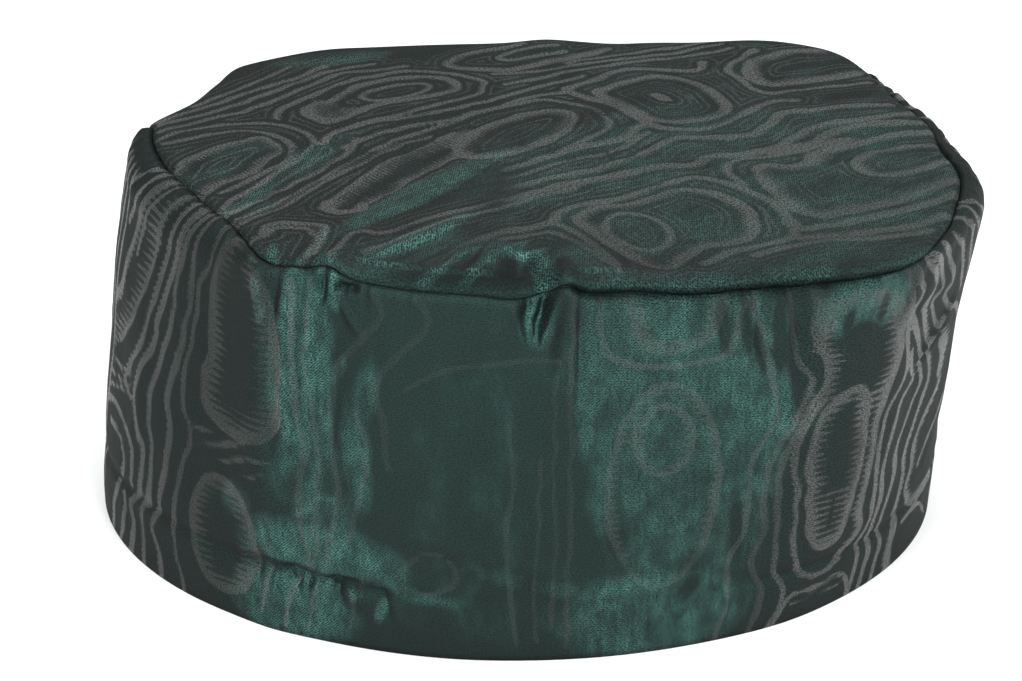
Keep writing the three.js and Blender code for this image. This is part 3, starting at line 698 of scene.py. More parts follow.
def crowded(start, end, count, crowding, gap=plain_gap):
    """Places from start to end, closer together as the rows of a crowding table say."""
    fine = np.linspace(start, end, CROWDING_STEPS)
    crowd = np.ones(CROWDING_STEPS)
    for row in rows_of(CROWD_COLUMNS, crowding):
        crowd += row["more"] * bell(gap(row["at"], fine), row["width"])
    sums = np.concatenate([[0.0], np.cumsum(crowd[:-1])])
    return np.interp(np.linspace(0, sums[-1], count), sums, fine)


def oval_place(across, along, oval):
    """A place in an oval's own axes, in parts of its half sizes."""
    turn = math.radians(oval["turn"])
    from_x, from_y = across - oval["across"], along - oval["along"]
    by_long = (from_x * math.cos(turn) + from_y * math.sin(turn)) / oval["long"]
    by_wide = (from_y * math.cos(turn) - from_x * math.sin(turn)) / oval["wide"]
    return by_long, by_wide


# The rim and the crown's edge

def measure_rim():
    """Bearings once round the rim's oval from the back, and the distance along it to each."""
    bearings = np.linspace(BACK, BACK + 360.0, RIM_STEPS + 1)
    angles = np.radians(bearings)
    rates = np.hypot(RIM_HALF_WIDTH * np.sin(angles), RIM_HALF_DEPTH * np.cos(angles))
    steps = (rates[1:] + rates[:-1]) / 2 * np.radians(bearings[1] - bearings[0])
    return bearings, np.concatenate([[0.0], np.cumsum(steps)])


RIM_BEARINGS, RIM_DISTANCES = measure_rim()
RIM_LENGTH = float(RIM_DISTANCES[-1])


def rim_arc(bearing):
    """Distance along the rim from the front, from minus to plus half its length."""
    turned = (bearing - BACK) % 360.0 + BACK
    return np.interp(turned, RIM_BEARINGS, RIM_DISTANCES) - RIM_LENGTH / 2


def crown_column(name, bearing):
    """A smooth closed curve through one column of the crown's edge."""
    bearings, values = CROWN["bearing"], CROWN[name]
    right = np.searchsorted(bearings, bearing % 360.0, side="right")
    near = [(right + step) % len(bearings) for step in (-2, -1, 0, 1)]
    at = [bearing_gap(bearing, bearings[place]) for place in near]
    value = [values[place] for place in near]
    slope_low = (value[2] - value[0]) / (at[2] - at[0])
    slope_high = (value[3] - value[1]) / (at[3] - at[1])
    span = at[2] - at[1]
    part = -at[1] / span
    lift = eased(part)
    early = part * (1 - part) ** 2
    late = part * part * (1 - part)
    return value[1] * (1 - lift) + value[2] * lift + span * (slope_low * early - slope_high * late)


def crown_edge(bearing):
    """The sizes of the crown's edge at a bearing, by column name, and the height of its foot."""
    at = {name: crown_column(name, bearing) for name in CROWN_COLUMNS[1:]}
    at["seam"] = np.clip(at["seam"], SEAM_LOWEST, SEAM_HIGHEST)
    at["foot"] = at["rise"] - at["round"]
    return at


def wall_fold(bearing, height):
    """How far the wall's main folds and dents stand out."""
    out = 0.0
    for fold in rows_of(FOLD_COLUMNS, WALL_FOLDS):
        across = bell(bearing_gap(fold["bearing"], bearing), fold["width"])
        out = out + fold["out"] * across * bell(height - fold["height"], fold["tall"])
    return out


def hem_line(bearing):
    """The height of the hem's fold on the outside."""
    left = 0.5 - 0.5 * np.cos(np.radians(bearing))
    wander = HEM_FOLD_WANDER * np.sin(np.radians(bearing * HEM_FOLD_WAVES)) * left
    return HEM_DEPTH + HEM_FOLD_RISE * left + wander


def hem_mark(bearing):
    """How plainly the hem's fold shows through, from 0 to 1."""
    shows = HEM_FOLD_SHOWS
    for row in rows_of(HEM_SHOW_COLUMNS, HEM_SHOWS):
        shows = shows + row["more"] * bell(bearing_gap(row["bearing"], bearing), row["width"])
    return np.clip(shows, 0, 1)


def wall_line(bearing, height):
    """How far the wall's outer face stands out of the rim's oval at a height."""
    at = crown_edge(bearing)
    foot = at["foot"]
    lean_share = height * (foot - height) / (LEAN_HEIGHT * (foot - LEAN_HEIGHT))
    edge_share = height * (height - LEAN_HEIGHT) / (foot * (foot - LEAN_HEIGHT))
    groove = HEM_FOLD_GROOVE * hem_mark(bearing) * bell(height - hem_line(bearing), HEM_FOLD_WIDTH)
    return at["lean"] * lean_share + at["edge"] * edge_share + wall_fold(bearing, height) - groove


def corner_line(bearing, turn):
    """Out and height on the rounding of the crown's edge, turn in degrees from its foot."""
    at = crown_edge(bearing)
    angle = np.radians(turn)
    out = at["edge"] - at["round"] * (1 - np.cos(angle)) + wall_fold(bearing, at["foot"])
    return out, at["foot"] + at["round"] * np.sin(angle)


def placed(bearing, out, height):
    """Points from a bearing, a distance out of the rim's oval and a height."""
    angle = np.radians(bearing)
    normal = np.stack([np.cos(angle) / RIM_HALF_WIDTH, np.sin(angle) / RIM_HALF_DEPTH], -1)
    normal /= np.linalg.norm(normal, axis=-1, keepdims=True)
    oval = np.stack([RIM_HALF_WIDTH * np.cos(angle), RIM_HALF_DEPTH * np.sin(angle)], -1)
    flat = oval + normal * np.asarray(out)[..., None] - np.array(BOX_MIDDLE)
    return np.concatenate([flat, np.broadcast_to(height, bearing.shape)[..., None]], -1)


def square_to_line(out, height):
    """Unit directions out of a profile whose points run along the first axis."""
    along_out, along_up = np.gradient(out, axis=0), np.gradient(height, axis=0)
    length = np.hypot(along_out, along_up) + 1e-9
    return along_up / length, -along_out / length


# Smooth noise, folds and creases of the handled cloth

def value_noise(across, along, seed):
    """Smooth noise from -1 to 1 over two directions, one value to a unit square."""
    values = np.random.default_rng(seed).uniform(-1, 1, (NOISE_CELLS, NOISE_CELLS))
    left, low = np.floor(across).astype(int), np.floor(along).astype(int)
    part_x, part_y = eased(across - left), eased(along - low)
    left, right = left % NOISE_CELLS, (left + 1) % NOISE_CELLS
    low, high = low % NOISE_CELLS, (low + 1) % NOISE_CELLS
    lower = values[left, low] * (1 - part_x) + values[right, low] * part_x
    upper = values[left, high] * (1 - part_x) + values[right, high] * part_x
    return lower * (1 - part_y) + upper * part_y


def ring_noise(arc, height, wide, tall, seed):
    """Noise on the wall that closes on itself round the back."""
    turns = arc / RIM_LENGTH + 0.5
    blend = np.clip((turns - (1 - NOISE_BLEND)) / NOISE_BLEND, 0, 1)
    from_x, from_y = NOISE_START
    here = value_noise(arc / wide + from_x, height / tall + from_y, seed)
    there = value_noise((arc - RIM_LENGTH) / wide + from_x, height / tall + from_y, seed)
    return here * (1 - blend) + there * blend


def moved_row(row, shift):
    """A row of a band's table, its place moved round by a shift."""
    return (row[0] + shift,) + tuple(row[1:])


def moved_line(line, shift):
    """A row of a band's line table, its course moved round by a shift."""
    return line[:2] + (tuple((across + shift, along) for across, along in line[2]),)


def round_band(rows, turns=(0, -1, 1), moved=moved_row):
    """The rows of a band's table, each again some turns of the rim further round. Whole
    turns leave no break at the back."""
    return [moved(row, turn * RIM_LENGTH) for turn in turns for row in rows]


def crease_height(across, along, creases):
    """How far creases lift a place off the cloth."""
    height = np.zeros_like(across)
    for crease in rows_of(CREASE_COLUMNS, creases):
        by_long, by_wide = oval_place(across, along, crease)
        height = height + crease["out"] * np.exp(-(by_long**4) - by_wide**2)
    return height


def seam_pull(arc):
    """How deep the seam lies between the cloths."""
    rising = np.clip((arc - SEAM_PULL_STARTS) / SEAM_PULL_RISES, 0, 1)
    falling = np.clip((SEAM_PULL_ENDS - arc) / SEAM_PULL_FALLS, 0, 1)
    return SEAM_PULL * (SEAM_PULL_SHARE + SEAM_PULL_MORE * rising * falling)


def seam_shade(from_seam, arc):
    """How dark the shadow in the seam is, from 0 to 1."""
    deep = seam_pull(arc) / SEAM_PULL
    return np.clip(deep, 0, 1) * bell(from_seam, SEAM_SHADE_WIDTH * deep**SEAM_SHADE_SPREAD)


def seam_step(arc):
    """How far the seam stands above its own line."""
    up = np.zeros_like(arc)
    for step in rows_of(SEAM_STEP_COLUMNS, round_band(SEAM_STEPS)):
        up = up + step["up"] * bell(arc - step["across"], step["wide"])
    return up


def band_relief(arc, along, to_seam):
    """Small folds of the handled cloth, out of its face, none of them at the hem's edge."""
    waves = {}
    for wave in rows_of(WAVE_COLUMNS, BAND_WAVES):
        noise = ring_noise(arc, along, wave["wide"], wave["tall"], wave["seed"])
        waves[wave["name"]] = wave["out"] * noise
    waves["seam_gathers"] *= bell(to_seam - SEAM_GATHERS_BELOW, SEAM_GATHERS_REACH)
    waves["side_gathers"] *= bell(to_seam, SIDE_GATHERS_REACH) * (1 - bell(arc, FRONT_HALF_LENGTH))
    pull = HEM_GATHERS_ALL_ROUND + bell(arc - HEM_GATHERS_ARC, HEM_GATHERS_LENGTH)
    pull = pull * bell(along - HEM_DEPTH - HEM_GATHERS_ABOVE, HEM_GATHERS_REACH)
    waves["hem_gathers"] = HEM_GATHERS_IN * pull * (0.5 + waves["hem_gathers"])
    moved = sum(waves.values()) + crease_height(arc, along, round_band(BAND_CREASES))
    return moved * (1 - bell(along, STILL_BY_RIM))


def tip_fold(bearing, inward):
    """How far the tip's main folds lift it, by the distance inward from its edge."""
    up = 0.0
    for fold in rows_of(TIP_FOLD_COLUMNS, TIP_FOLDS):
        across = bell(bearing_gap(fold["bearing"], bearing), fold["width"])
        up = up + fold["up"] * across * bell(inward, fold["long"])
    return up


def grain_place(x, y):
    """A place on the tip across and along the cloth's grain."""
    return y * GRAIN_COS - x * GRAIN_SIN, x * GRAIN_COS + y * GRAIN_SIN


def tip_noise(across, along, start, wide, tall, seed):
    """Noise on the tip, with waves of a size, from a start on the noise's own sheet."""
    return value_noise(across / wide + start, along / tall + start, seed)


def tip_relief(x, y, inward):
    """How far the tip's cloth is lifted by its small folds, none of them in the seam."""
    across, along = grain_place(x, y)
    lift = np.zeros_like(x)
    for wave in rows_of(WAVE_COLUMNS, TIP_WAVES):
        noise = tip_noise(across, along, 40, wave["wide"], wave["tall"], wave["seed"])
        lift = lift + wave["out"] * noise
    return (lift + crease_height(x, y, TIP_CREASES)) * (1 - bell(inward, STILL_BY_SEAM))


# The watered pattern and the patches, kept as numbers on the points of a mesh

def point_values(piece, name, values):
    """Keep one number for each point of a piece's mesh."""
    layer = piece.data.attributes.new(name, "FLOAT", "POINT")
    layer.data.foreach_set("value", np.asarray(values, np.float32).ravel())


def cloth_places(piece, across, along):
    """Keep each point's place on the flat cloth, in metres, as the piece's UV map."""
    places = np.stack([np.ravel(across), np.ravel(along)], -1) * MM
    corners = np.empty(len(piece.data.loops), np.int32)
    piece.data.loops.foreach_get("vertex_index", corners)
    layer = piece.data.uv_layers.new(name="cloth")
    layer.data.foreach_set("uv", places[corners].astype(np.float32).ravel())


def smooth_course(points):
    """A smooth curve through a few points, closed where the last is the first again."""
    points = np.array(points, float)
    if np.array_equal(points[0], points[-1]):
        padded = np.concatenate([points[-2:-1], points, points[1:2]])
    else:
        before_first, past_last = 2 * points[:1] - points[1:2], 2 * points[-1:] - points[-2:-1]
        padded = np.concatenate([before_first, points, past_last])
    part = np.linspace(0, 1, COURSE_STEPS, endpoint=False)[None, :, None]
    stretches = len(padded) - 3
    before, start, end, after = (padded[place : stretches + place, None] for place in range(4))
    straight, bend = end - before, 2 * before - 5 * start + 4 * end - after
    twist = 3 * start - before - 3 * end + after
    curve = start + 0.5 * part * (straight + part * (bend + part * twist))
    return np.concatenate([curve.reshape(-1, 2), points[-1:]])


def ring_course(ring):
    """The course of an oval ring, anticlockwise."""
    turn, angles = math.radians(ring["turn"]), np.linspace(0, math.tau, RING_POINTS)
    by_long, by_wide = ring["long"] * np.cos(angles), ring["wide"] * np.sin(angles)
    across = ring["across"] + by_long * math.cos(turn) - by_wide * math.sin(turn)
    along = ring["along"] + by_long * math.sin(turn) + by_wide * math.cos(turn)
    course = np.stack([across, along], -1)
    course[-1] = course[0]
    return course


def upright_lines(start, end):
    """Lines between two pressings, which sway a little from the hem to the seam."""
    lines = []
    heights = np.linspace(0, UPRIGHT_TALL, UPRIGHT_POINTS)
    for count in range(UPRIGHT_COUNT):
        middle = start + (end - start) * (count + 0.5) / UPRIGHT_COUNT
        sways = 0.0
        for sway in rows_of(SWAY_COLUMNS, UPRIGHT_SWAYS):
            sways = sways + sway["out"] * np.sin(heights / sway["tall"] + count * sway["ahead"])
        lines.append((UPRIGHT_WIDE, UPRIGHT_TEETH, tuple(zip(middle + sways, heights))))
    return tuple(lines)


def line_offset(across, along, course):
    """How far places are to the left of a course; on its right the offset is below zero."""
    start, step = course[:-1], np.diff(course, axis=0)
    from_x, from_y = across[:, None] - start[:, 0], along[:, None] - start[:, 1]
    length = (step**2).sum(1) + 1e-9
    part = np.clip((from_x * step[:, 0] + from_y * step[:, 1]) / length, 0, 1)
    off_x, off_y = from_x - part * step[:, 0], from_y - part * step[:, 1]
    off = np.hypot(off_x, off_y)
    nearest = off.argmin(1)[:, None]
    side = np.sign(step[:, 0] * off_y - step[:, 1] * off_x)
    return np.take_along_axis(off * np.where(side == 0, 1, side), nearest, 1)[:, 0]


def places_near(across, along, course, margin):
    """The numbers of the places that lie in a course's box or within a margin of it."""
    low, high = course.min(0) - margin, course.max(0) + margin
    inside = (across > low[0]) & (across < high[0]) & (along > low[1]) & (along < high[1])
    return np.flatnonzero(inside)


def press_pattern(piece, across, along, rings, lines, least_teeth):
    """Keep how far each point lies inside the solid part of a pressed line, and inside the
    reach of its teeth; both are below zero outside."""
    across, along = np.ravel(across), np.ravel(along)
    solid, reach = np.full(across.shape, NO_SOLID), np.full(across.shape, -PATTERN_REACH)
    lines = rows_of(LINE_COLUMNS, lines)
    for ring in rows_of(RING_COLUMNS, rings):
        lines.append({"wide": ring["band"], "teeth": ring["teeth"], "course": ring_course(ring)})
    for line in lines:
        course = smooth_course(line["course"])
        half, teeth = line["wide"] / 2, max(abs(line["teeth"]), least_teeth)
        near = places_near(across, along, course, half + teeth + PATTERN_REACH)
        if len(near) == 0:
            continue
        off = line_offset(across[near], along[near], course) * (-1 if line["teeth"] < 0 else 1)
        solid[near] = np.maximum(solid[near], half - np.abs(off))
        reach[near] = np.maximum(reach[near], np.minimum(off + half, half + teeth - off))
    point_values(piece, "solid", solid)
    point_values(piece, "reach", reach)


def patch_share(across, along, patches):
    """How far a place lies in the strongest of some patches, from 0 to 1."""
    most = np.zeros_like(across)
    for patch in rows_of(PATCH_COLUMNS, patches):
        radius = np.hypot(*oval_place(across, along, patch))
        inside = np.clip((1 + patch["soft"] / 2 - radius) / patch["soft"], 0, 1)
        most = np.maximum(most, patch["share"] * eased(inside))
    return most


def hidden_painted_sheens():
    """Patches of painted sheen round the back."""
    random = np.random.default_rng(HIDDEN_SEED)
    spacing = (RIM_LENGTH - 2 * HIDDEN_FROM) / HIDDEN_PAINTED_SHEEN_COUNT
    painted_sheens = []
    for count in range(HIDDEN_PAINTED_SHEEN_COUNT):
        shift, *shape = (random.uniform(*ends) for ends in HIDDEN_RANGES.values())
        across = HIDDEN_FROM + spacing * (count + 0.5) + shift
        painted_sheens.append((across, *shape) + HIDDEN_PAINTED_SHEEN)
    return tuple(painted_sheens)


def add_object(name, data):
    """An object in the scene that holds some data."""
    made = bpy.data.objects.new(name, data)
    bpy.context.scene.collection.objects.link(made)
    return made


def cap_mesh(name, rings, poles=None):
    """A closed mesh over rings of points. Its two ends are closed at poles; without them
    the last ring is joined to the first."""
    ring_count, around = len(rings), rings[0].shape[0]
    points = np.concatenate(rings)
    low = np.arange(ring_count - 1 if poles is not None else ring_count)[:, None] * around
    high = (low + around) % (ring_count * around)
    step = np.arange(around)[None, :]
    following = (step + 1) % around
    quads = np.stack([low + step, low + following, high + following, high + step], -1)
    faces = quads.reshape(-1, 4).tolist()
    if poles is not None:
        points = np.concatenate([points, np.array(poles)])
        first, last = len(points) - 2, len(points) - 1
        last_ring = (ring_count - 1) * around
        edges = [(place, (place + 1) % around) for place in range(around)]
        faces += [(first, after, place) for place, after in edges]
        faces += [(last, last_ring + place, last_ring + after) for place, after in edges]
    mesh = bpy.data.meshes.new(name)
    mesh.from_pydata((points * MM).tolist(), [], faces)
    mesh.shade_smooth()
    return add_object(name, mesh)


def cap_bearings():
    """Bearings once round the cap, closer together in front, where the small folds are."""
    return crowded(FRONT - 360.0, FRONT, BEARINGS + 1, FRONT_CROWDING, bearing_gap)[:-1] % 360.0


# The side band

def band_line(bearing):
    """Out, height and distance along the cloth from the hem, on the band's outer face,
    by rows from the hem to the seam."""
    at = crown_edge(bearing)
    foot = at["foot"]
    heights = crowded(0, 1, WALL_ROWS, WALL_CROWDING)[:, None] * foot
    last_turn = 90 * at["seam"] - np.degrees(SEAM_GAP / 2 / at["round"])
    turns = np.linspace(0, 1, CORNER_ROWS + 1)[1:, None] * last_turn
    corner_out, corner_height = corner_line(bearing[None, :], turns)
    out = np.concatenate([wall_line(bearing[None, :], heights), corner_out])
    height = np.concatenate([heights, corner_height])
    along = np.concatenate([heights, foot + np.radians(turns) * at["round"]])
    return out, height, along


def band_rings(bearing, arc):
    """Rings of points up the band's outer face, down its inner face and over its hem, and
    for their points the distance along the cloth and to the seam."""
    out, height, along = band_line(bearing)
    square_out, square_up = square_to_line(out, height)
    to_seam = along[-1] - along
    moved = band_relief(np.broadcast_to(arc, along.shape), along, to_seam)
    moved -= seam_pull(arc) * bell(to_seam, SEAM_PULL_WIDTH)
    out = out + square_out * moved
    height = height + square_up * moved + seam_step(arc) * bell(to_seam, SEAM_STEP_REACH)
    rings = [placed(bearing, *row) for row in zip(out, height)]

    inner = np.linspace(len(out) - 1, 0, INNER_ROWS).round().astype(int)
    inner = [row for row in inner if along[row].min() > HEM_DEPTH + INSIDE_ABOVE_HEM]
    inner_out, inner_height = out - square_out * CLOTH, height - square_up * CLOTH
    rings += [placed(bearing, inner_out[row], inner_height[row]) for row in inner]

    hem = []
    for rise, thickness in ((HEM_LIP, CLOTH), (0.0, HEM_THICKNESS), (-HEM_DEPTH, HEM_THICKNESS)):
        level = np.full_like(bearing, HEM_DEPTH + rise)
        rings.append(placed(bearing, wall_line(bearing, level) - thickness, level))
        hem.append(level)
    inside = np.full((len(inner) + len(hem), BEARINGS), FAR_FROM_SEAM)
    return rings, np.concatenate([along, along[inner], hem]), np.concatenate([to_seam, inside])


def mark_band(piece, across, along, to_seam):
    """Keep the band's pattern, fades, painted sheen and shade, and painted seam shadow."""
    waver = WAVER * ring_noise(across, along, *BAND_WAVER)
    uprights = upright_lines(PRESSED_REACH, RIM_LENGTH / 2 - PRESSED_REACH)
    pressings = (-1, -0.5, 0, 0.5, 1)
    lines = round_band(BAND_LINES + uprights, pressings, moved_line)
    rings = round_band(BAND_RINGS, pressings)
    press_pattern(piece, across + waver, along, rings, lines, BAND_LEAST_TEETH)
    hidden = hidden_painted_sheens()
    # Painted sheen in patches, on fold crests and elsewhere
    gleam = patch_share(across, along, round_band(BAND_PAINTED_SHEENS + hidden))
    # Painted shade, mostly in the hollows of folds, dims the painted sheen
    painted_dim = patch_share(across, along, round_band(BAND_PAINTED_DIMS))
    point_values(piece, "gleam", gleam * (1 - painted_dim))
    # Fades: partly the cloth's own faint pattern, partly painted where the pressed bands' sheen is
    # weak
    fades = BAND_FADES + tuple(row[:5] + HIDDEN_FADE for row in hidden)
    point_values(piece, "fade", patch_share(across, along, round_band(fades)))
    # Painted shadow in the seam
    point_values(piece, "seam", seam_shade(to_seam, across))
    cloth_places(piece, across, along)


def make_band():
    """The side band's cloth, with its hem turned in."""
    bearing = cap_bearings()
    arc = rim_arc(bearing)[None, :]
    rings, along, to_seam = band_rings(bearing, arc)
    piece = cap_mesh("side_band_cloth", rings)
    mark_band(piece, np.broadcast_to(arc, along.shape), along, to_seam)
    return piece


# The tip

def shoulder_line(bearing):
    """Out, height and distance from the seam on the tip's rounding, by rows from the seam
    to its flat. Where the seam is low the rounding reaches further in."""
    at = crown_edge(bearing)
    first_turn = 90 * at["seam"] + np.degrees(SEAM_GAP / 2 / at["round"])
    turns = first_turn + (90 - first_turn) * np.linspace(0, 1, CORNER_ROWS + 1)[:, None]
    out, height = corner_line(bearing[None, :], turns)
    reach = at["round"] + np.maximum(SHOULDER_REACH - at["round"], 0) * (1 - at["seam"]) ** 2
    angle, first_angle = np.radians(turns), np.radians(first_turn)
    out = out[0] - reach * (np.cos(first_angle) - np.cos(angle))
    return out, height, (angle - first_angle) * at["round"]


def shoulder_rings(bearing, out, height, off, step):
    """Rings of points over the tip's rounding, some way off its line."""
    square_out, square_up = square_to_line(out, height)
    out, height = out + square_out * off, height + square_up * off + step
    return [placed(bearing, *row) for row in zip(out, height)]


def laid_flat(bearing, out, height):
    """Where the rows of the tip's rounding lie when they are laid flat round its edge."""
    steps = np.hypot(np.diff(out, axis=0), np.diff(height, axis=0))
    to_edge = np.concatenate([np.cumsum(steps[::-1], axis=0)[::-1], np.zeros((1, len(bearing)))])
    return [placed(bearing, out[-1] + reach, height[-1]) for reach in to_edge]


def flat_rings(bearing, edge, middle, shares, step):
    """Rings of points on the tip's flat, at shares of the way from its middle to its edge."""
    rings = []
    for share in shares:
        ring = edge * share + middle * (1 - share)
        inward = np.linalg.norm((edge - ring)[:, :2], axis=1)
        ring[:, 2] = edge[:, 2] * share**2 + middle[2] * (1 - share**2)
        ring[:, 2] += tip_fold(bearing, inward) + step * bell(inward, SEAM_STEP_REACH)
        ring[:, 2] += tip_relief(ring[:, 0], ring[:, 1], inward)
        rings.append(ring)
    return rings


def mark_tip(piece, x, y, from_seam, arc):
    """Keep the tip's pattern, fades, painted sheen and shade, and painted seam shadow."""
    across, along = grain_place(x, y)
    waver = WAVER * tip_noise(across, along, 50, *TIP_WAVER)
    pattern_x, pattern_y = x - GRAIN_SIN * waver, y + GRAIN_COS * waver
    press_pattern(piece, pattern_x, pattern_y, TIP_RINGS, TIP_LINES, TIP_LEAST_TEETH)
    # Painted sheen in patches, dimmed by painted shade in the hollows of folds
    gleam = patch_share(x, y, TIP_PAINTED_SHEENS) * (1 - patch_share(x, y, TIP_PAINTED_DIMS))
    point_values(piece, "gleam", gleam)
    # Fades: partly the cloth's own faint pattern, partly painted where the pressed bands' sheen is
    # weak
    point_values(piece, "fade", patch_share(x, y, TIP_FADES))
    # Painted shadow in the seam, and painted shade where the tip rolls down to it in front
    painted_shade = np.maximum(seam_shade(from_seam, arc), patch_share(x, y, TIP_PAINTED_SHADES))
    point_values(piece, "seam", painted_shade)
    cloth_places(piece, across, along)


def make_tip():
    """The tip's cloth, from its under side round the seam to its upper side."""
    bearing = cap_bearings()
    arc = rim_arc(bearing)
    step = seam_step(arc)
    out, height, from_seam = shoulder_line(bearing)
    pulled = -seam_pull(arc) * bell(from_seam, SEAM_PULL_WIDTH)
    shoulder = shoulder_rings(bearing, out, height, pulled, step)
    under_shoulder = shoulder_rings(bearing, out, height, pulled - CLOTH, step)

    edge = placed(bearing, out[-1], height[-1])
    middle = np.array([-BOX_MIDDLE[0], -BOX_MIDDLE[1], TIP_MIDDLE_HEIGHT])
    below = np.array([0, 0, CLOTH])
    shares = crowded(1, 0, TIP_ROWS + 1, TIP_CROWDING)[1:-1]
    under_shares = np.linspace(1, 0, UNDER_ROWS + 1)[1:-1]
    upper = flat_rings(bearing, edge, middle, shares, step)
    lower = [ring - below for ring in flat_rings(bearing, edge, middle, under_shares[::-1], step)]
    rings = lower + under_shoulder[::-1] + shoulder + upper
    poles = np.array([middle - below, middle])
    piece = cap_mesh("tip_cloth", rings, poles)

    laid = laid_flat(bearing, out, height)
    x, y = np.concatenate(lower + laid[::-1] + laid + upper + [poles])[:, :2].T
    off_seam = np.full(len(x), FAR_FROM_SEAM)
    first = (len(lower) + len(under_shoulder)) * BEARINGS
    off_seam[first : first + from_seam.size] = from_seam.ravel()
    arcs = np.concatenate([np.tile(arc, len(rings)), [0.0, 0.0]])
    mark_tip(piece, x, y, off_seam, arcs)
    return piece


# Shader maths

class Value:
    """A node socket that takes part in Python arithmetic by adding Math nodes."""

    def __init__(self, shader, socket):
        self.shader = shader
        self.socket = socket

    def __add__(self, other):
        return self.shader.maths("ADD", self, other)

    def __radd__(self, other):
        return self.shader.maths("ADD", other, self)

    def __sub__(self, other):
        return self.shader.maths("SUBTRACT", self, other)

    def __rsub__(self, other):
        return self.shader.maths("SUBTRACT", other, self)

    def __mul__(self, other):
        return self.shader.maths("MULTIPLY", self, other)

    def __rmul__(self, other):
        return self.shader.maths("MULTIPLY", other, self)

    def __truediv__(self, other):
        return self.shader.maths("DIVIDE", self, other)

    def __rtruediv__(self, other):
        return self.shader.maths("DIVIDE", other, self)

    def floor(self):
        return self.shader.maths("FLOOR", self)

    def fraction(self):
        return self.shader.maths("FRACT", self)

    def absolute(self):
        return self.shader.maths("ABSOLUTE", self)

    def power(self, exponent):
        return self.shader.maths("POWER", self, exponent)

    def sine(self):
        return self.shader.maths("SINE", self)

    def larger(self, other):
        return self.shader.maths("MAXIMUM", self, other)

    def clamped(self):
        return self.shader.maths("ADD", self, 0.0, use_clamp=True)

    def sharper(self, contrast):
        """More contrast about 0.5."""
        return ((self - 0.5) * contrast + 0.5).clamped()

    def between(self, low, high):
        """0 below low, 1 above high, and a straight ramp in between."""
        return ((self - low) / (high - low)).clamped()


class Shader:
    """The nodes of a material or of the world, all added by one method."""

    def __init__(self, holder):
        holder.use_nodes = True
        self.nodes = holder.node_tree.nodes
        self.links = holder.node_tree.links
        self.nodes.clear()

    def node(self, kind, settings=None, *by_place, **by_name):
        """A node of one kind: its settings, then the values or links of the sockets that it
        has under them, by place or by name. Gives its outputs."""
        made = self.nodes.new(kind)
        for name, value in (settings or {}).items():
            setattr(made, name, value)
        sockets = list(zip([socket for socket in made.inputs if socket.enabled], by_place))
        sockets += [(made.inputs[name.replace("_", " ")], value) for name, value in by_name.items()]
        for socket, value in sockets:
            if isinstance(value, Value):
                self.links.new(value.socket, socket)
            else:
                socket.default_value = value
        return [Value(self, socket) for socket in made.outputs if socket.enabled]

    def maths(self, operation, *values, **settings):
        return self.node("ShaderNodeMath", {"operation": operation, **settings}, *values)[0]

    def attribute(self, name):
        return self.node("ShaderNodeAttribute", {"attribute_name": name})[2]

    def flat_place(self, across, along):
        return self.node("ShaderNodeCombineXYZ", None, across, along, 0.0)[0]

    def noise(self, across, along, wide, tall, detail):
        """Smooth noise over the cloth, about 0.5, with marks of a size in millimetres."""
        place = self.flat_place(across / wide, along / tall)
        sockets = {"Vector": place, "Scale": 1.0, "Detail": detail}
        return self.node("ShaderNodeTexNoise", {"noise_dimensions": "2D"}, **sockets)[0]

    def mix_colour(self, share, first, second):
        return self.node("ShaderNodeMix", {"data_type": "RGBA"}, share, first, second)[0]

    def mix_shader(self, share, first, second):
        return self.node("ShaderNodeMixShader", None, share, first, second)[0]

    def paint(self, **sockets):
        return self.node("ShaderNodeBsdfPrincipled", None, **sockets)[0]


def new_material(name):
    """A material and the shader that its nodes are added with."""
    material = bpy.data.materials.new(name)
    return material, Shader(material)


# Watered cloth

# Noises over the cloth, by how wide and tall their marks are and how detailed
CLOTH_NOISES = {
    "drift": (15, 7, 1.0),
    "wander": (5, 7, 2.0),
    "strength": (11, 17, 2.0),
    "streak": (1.5, 5, 4.0),
    "mottle": (3, 4, 3.0),
    "cloud": (7, 12, 3.0),
}

# The ribs of the weft, the warp that crosses them and the twill of the green threads, and
# how much of each and of the threads' specks shows
RIB_PITCH = 0.56
TWILL_PITCH = 0.68
RIB_SLANT = 0.9
SPECK_FLATNESS = 0.7
SPECK_DETAIL = 2.0
WEAVE_PARTS = {"rib": 0.24, "crossed": 0.3, "specks": 4.4}
TWILL_PARTS = {"twill": 0.3, "rib": 0.12, "specks": 2.6}
FADED_WEAVE = 0.25
CLEAR_WEAVE = 0.9
WEAVE_BUMP = 0.00025
BUMP_STRENGTH = 0.3

# The teeth of a line: how far their rows drift, the length of cloth over which one keeps
# its length, how short the shortest is, how soft their sides are, and how they pale
DRIFT_ROWS = 0.8
TOOTH_LENGTH = 9.0
SHORTEST_TOOTH = 0.5
TOOTH_SOFT = 0.3
TOOTH_PALES = 0.45
GLOW_ENDS = 0.9
WANDER_OFF = 0.8
LINE_STRENGTH = 1.9

# The green threads' painted sheen: streaks with a contrast, a body between two ends of
# painted sheen patch and cloud, and how much of the silk then shows
STREAK_CONTRAST = 2.4
BODY_ENDS = (0.1, 0.95)
BODY_RISES = 5.0
GLINT_RISES = 2.5
GLINT_BASE = 0.15
STREAK_BASE = 0.62
GREEN_SHARE = 0.36
SQUARE_ON_SHEEN = {"power": 2.0, "weave": 0.1, "plain": 0.05}

# What the pressed bands show: edge on, square on, in a painted sheen patch, in a faded
# one, faded, and on the ribs and between them
PRESSED_SHINE = {
    "power": 1.5,
    "edge_on": 0.66,
    "square_on": 0.22,
    "gleam": 0.3,
    "faded_gleam": 0.06,
    "faded": 0.025,
    "ribs": 1.5,
    "between_ribs": 0.25,
}
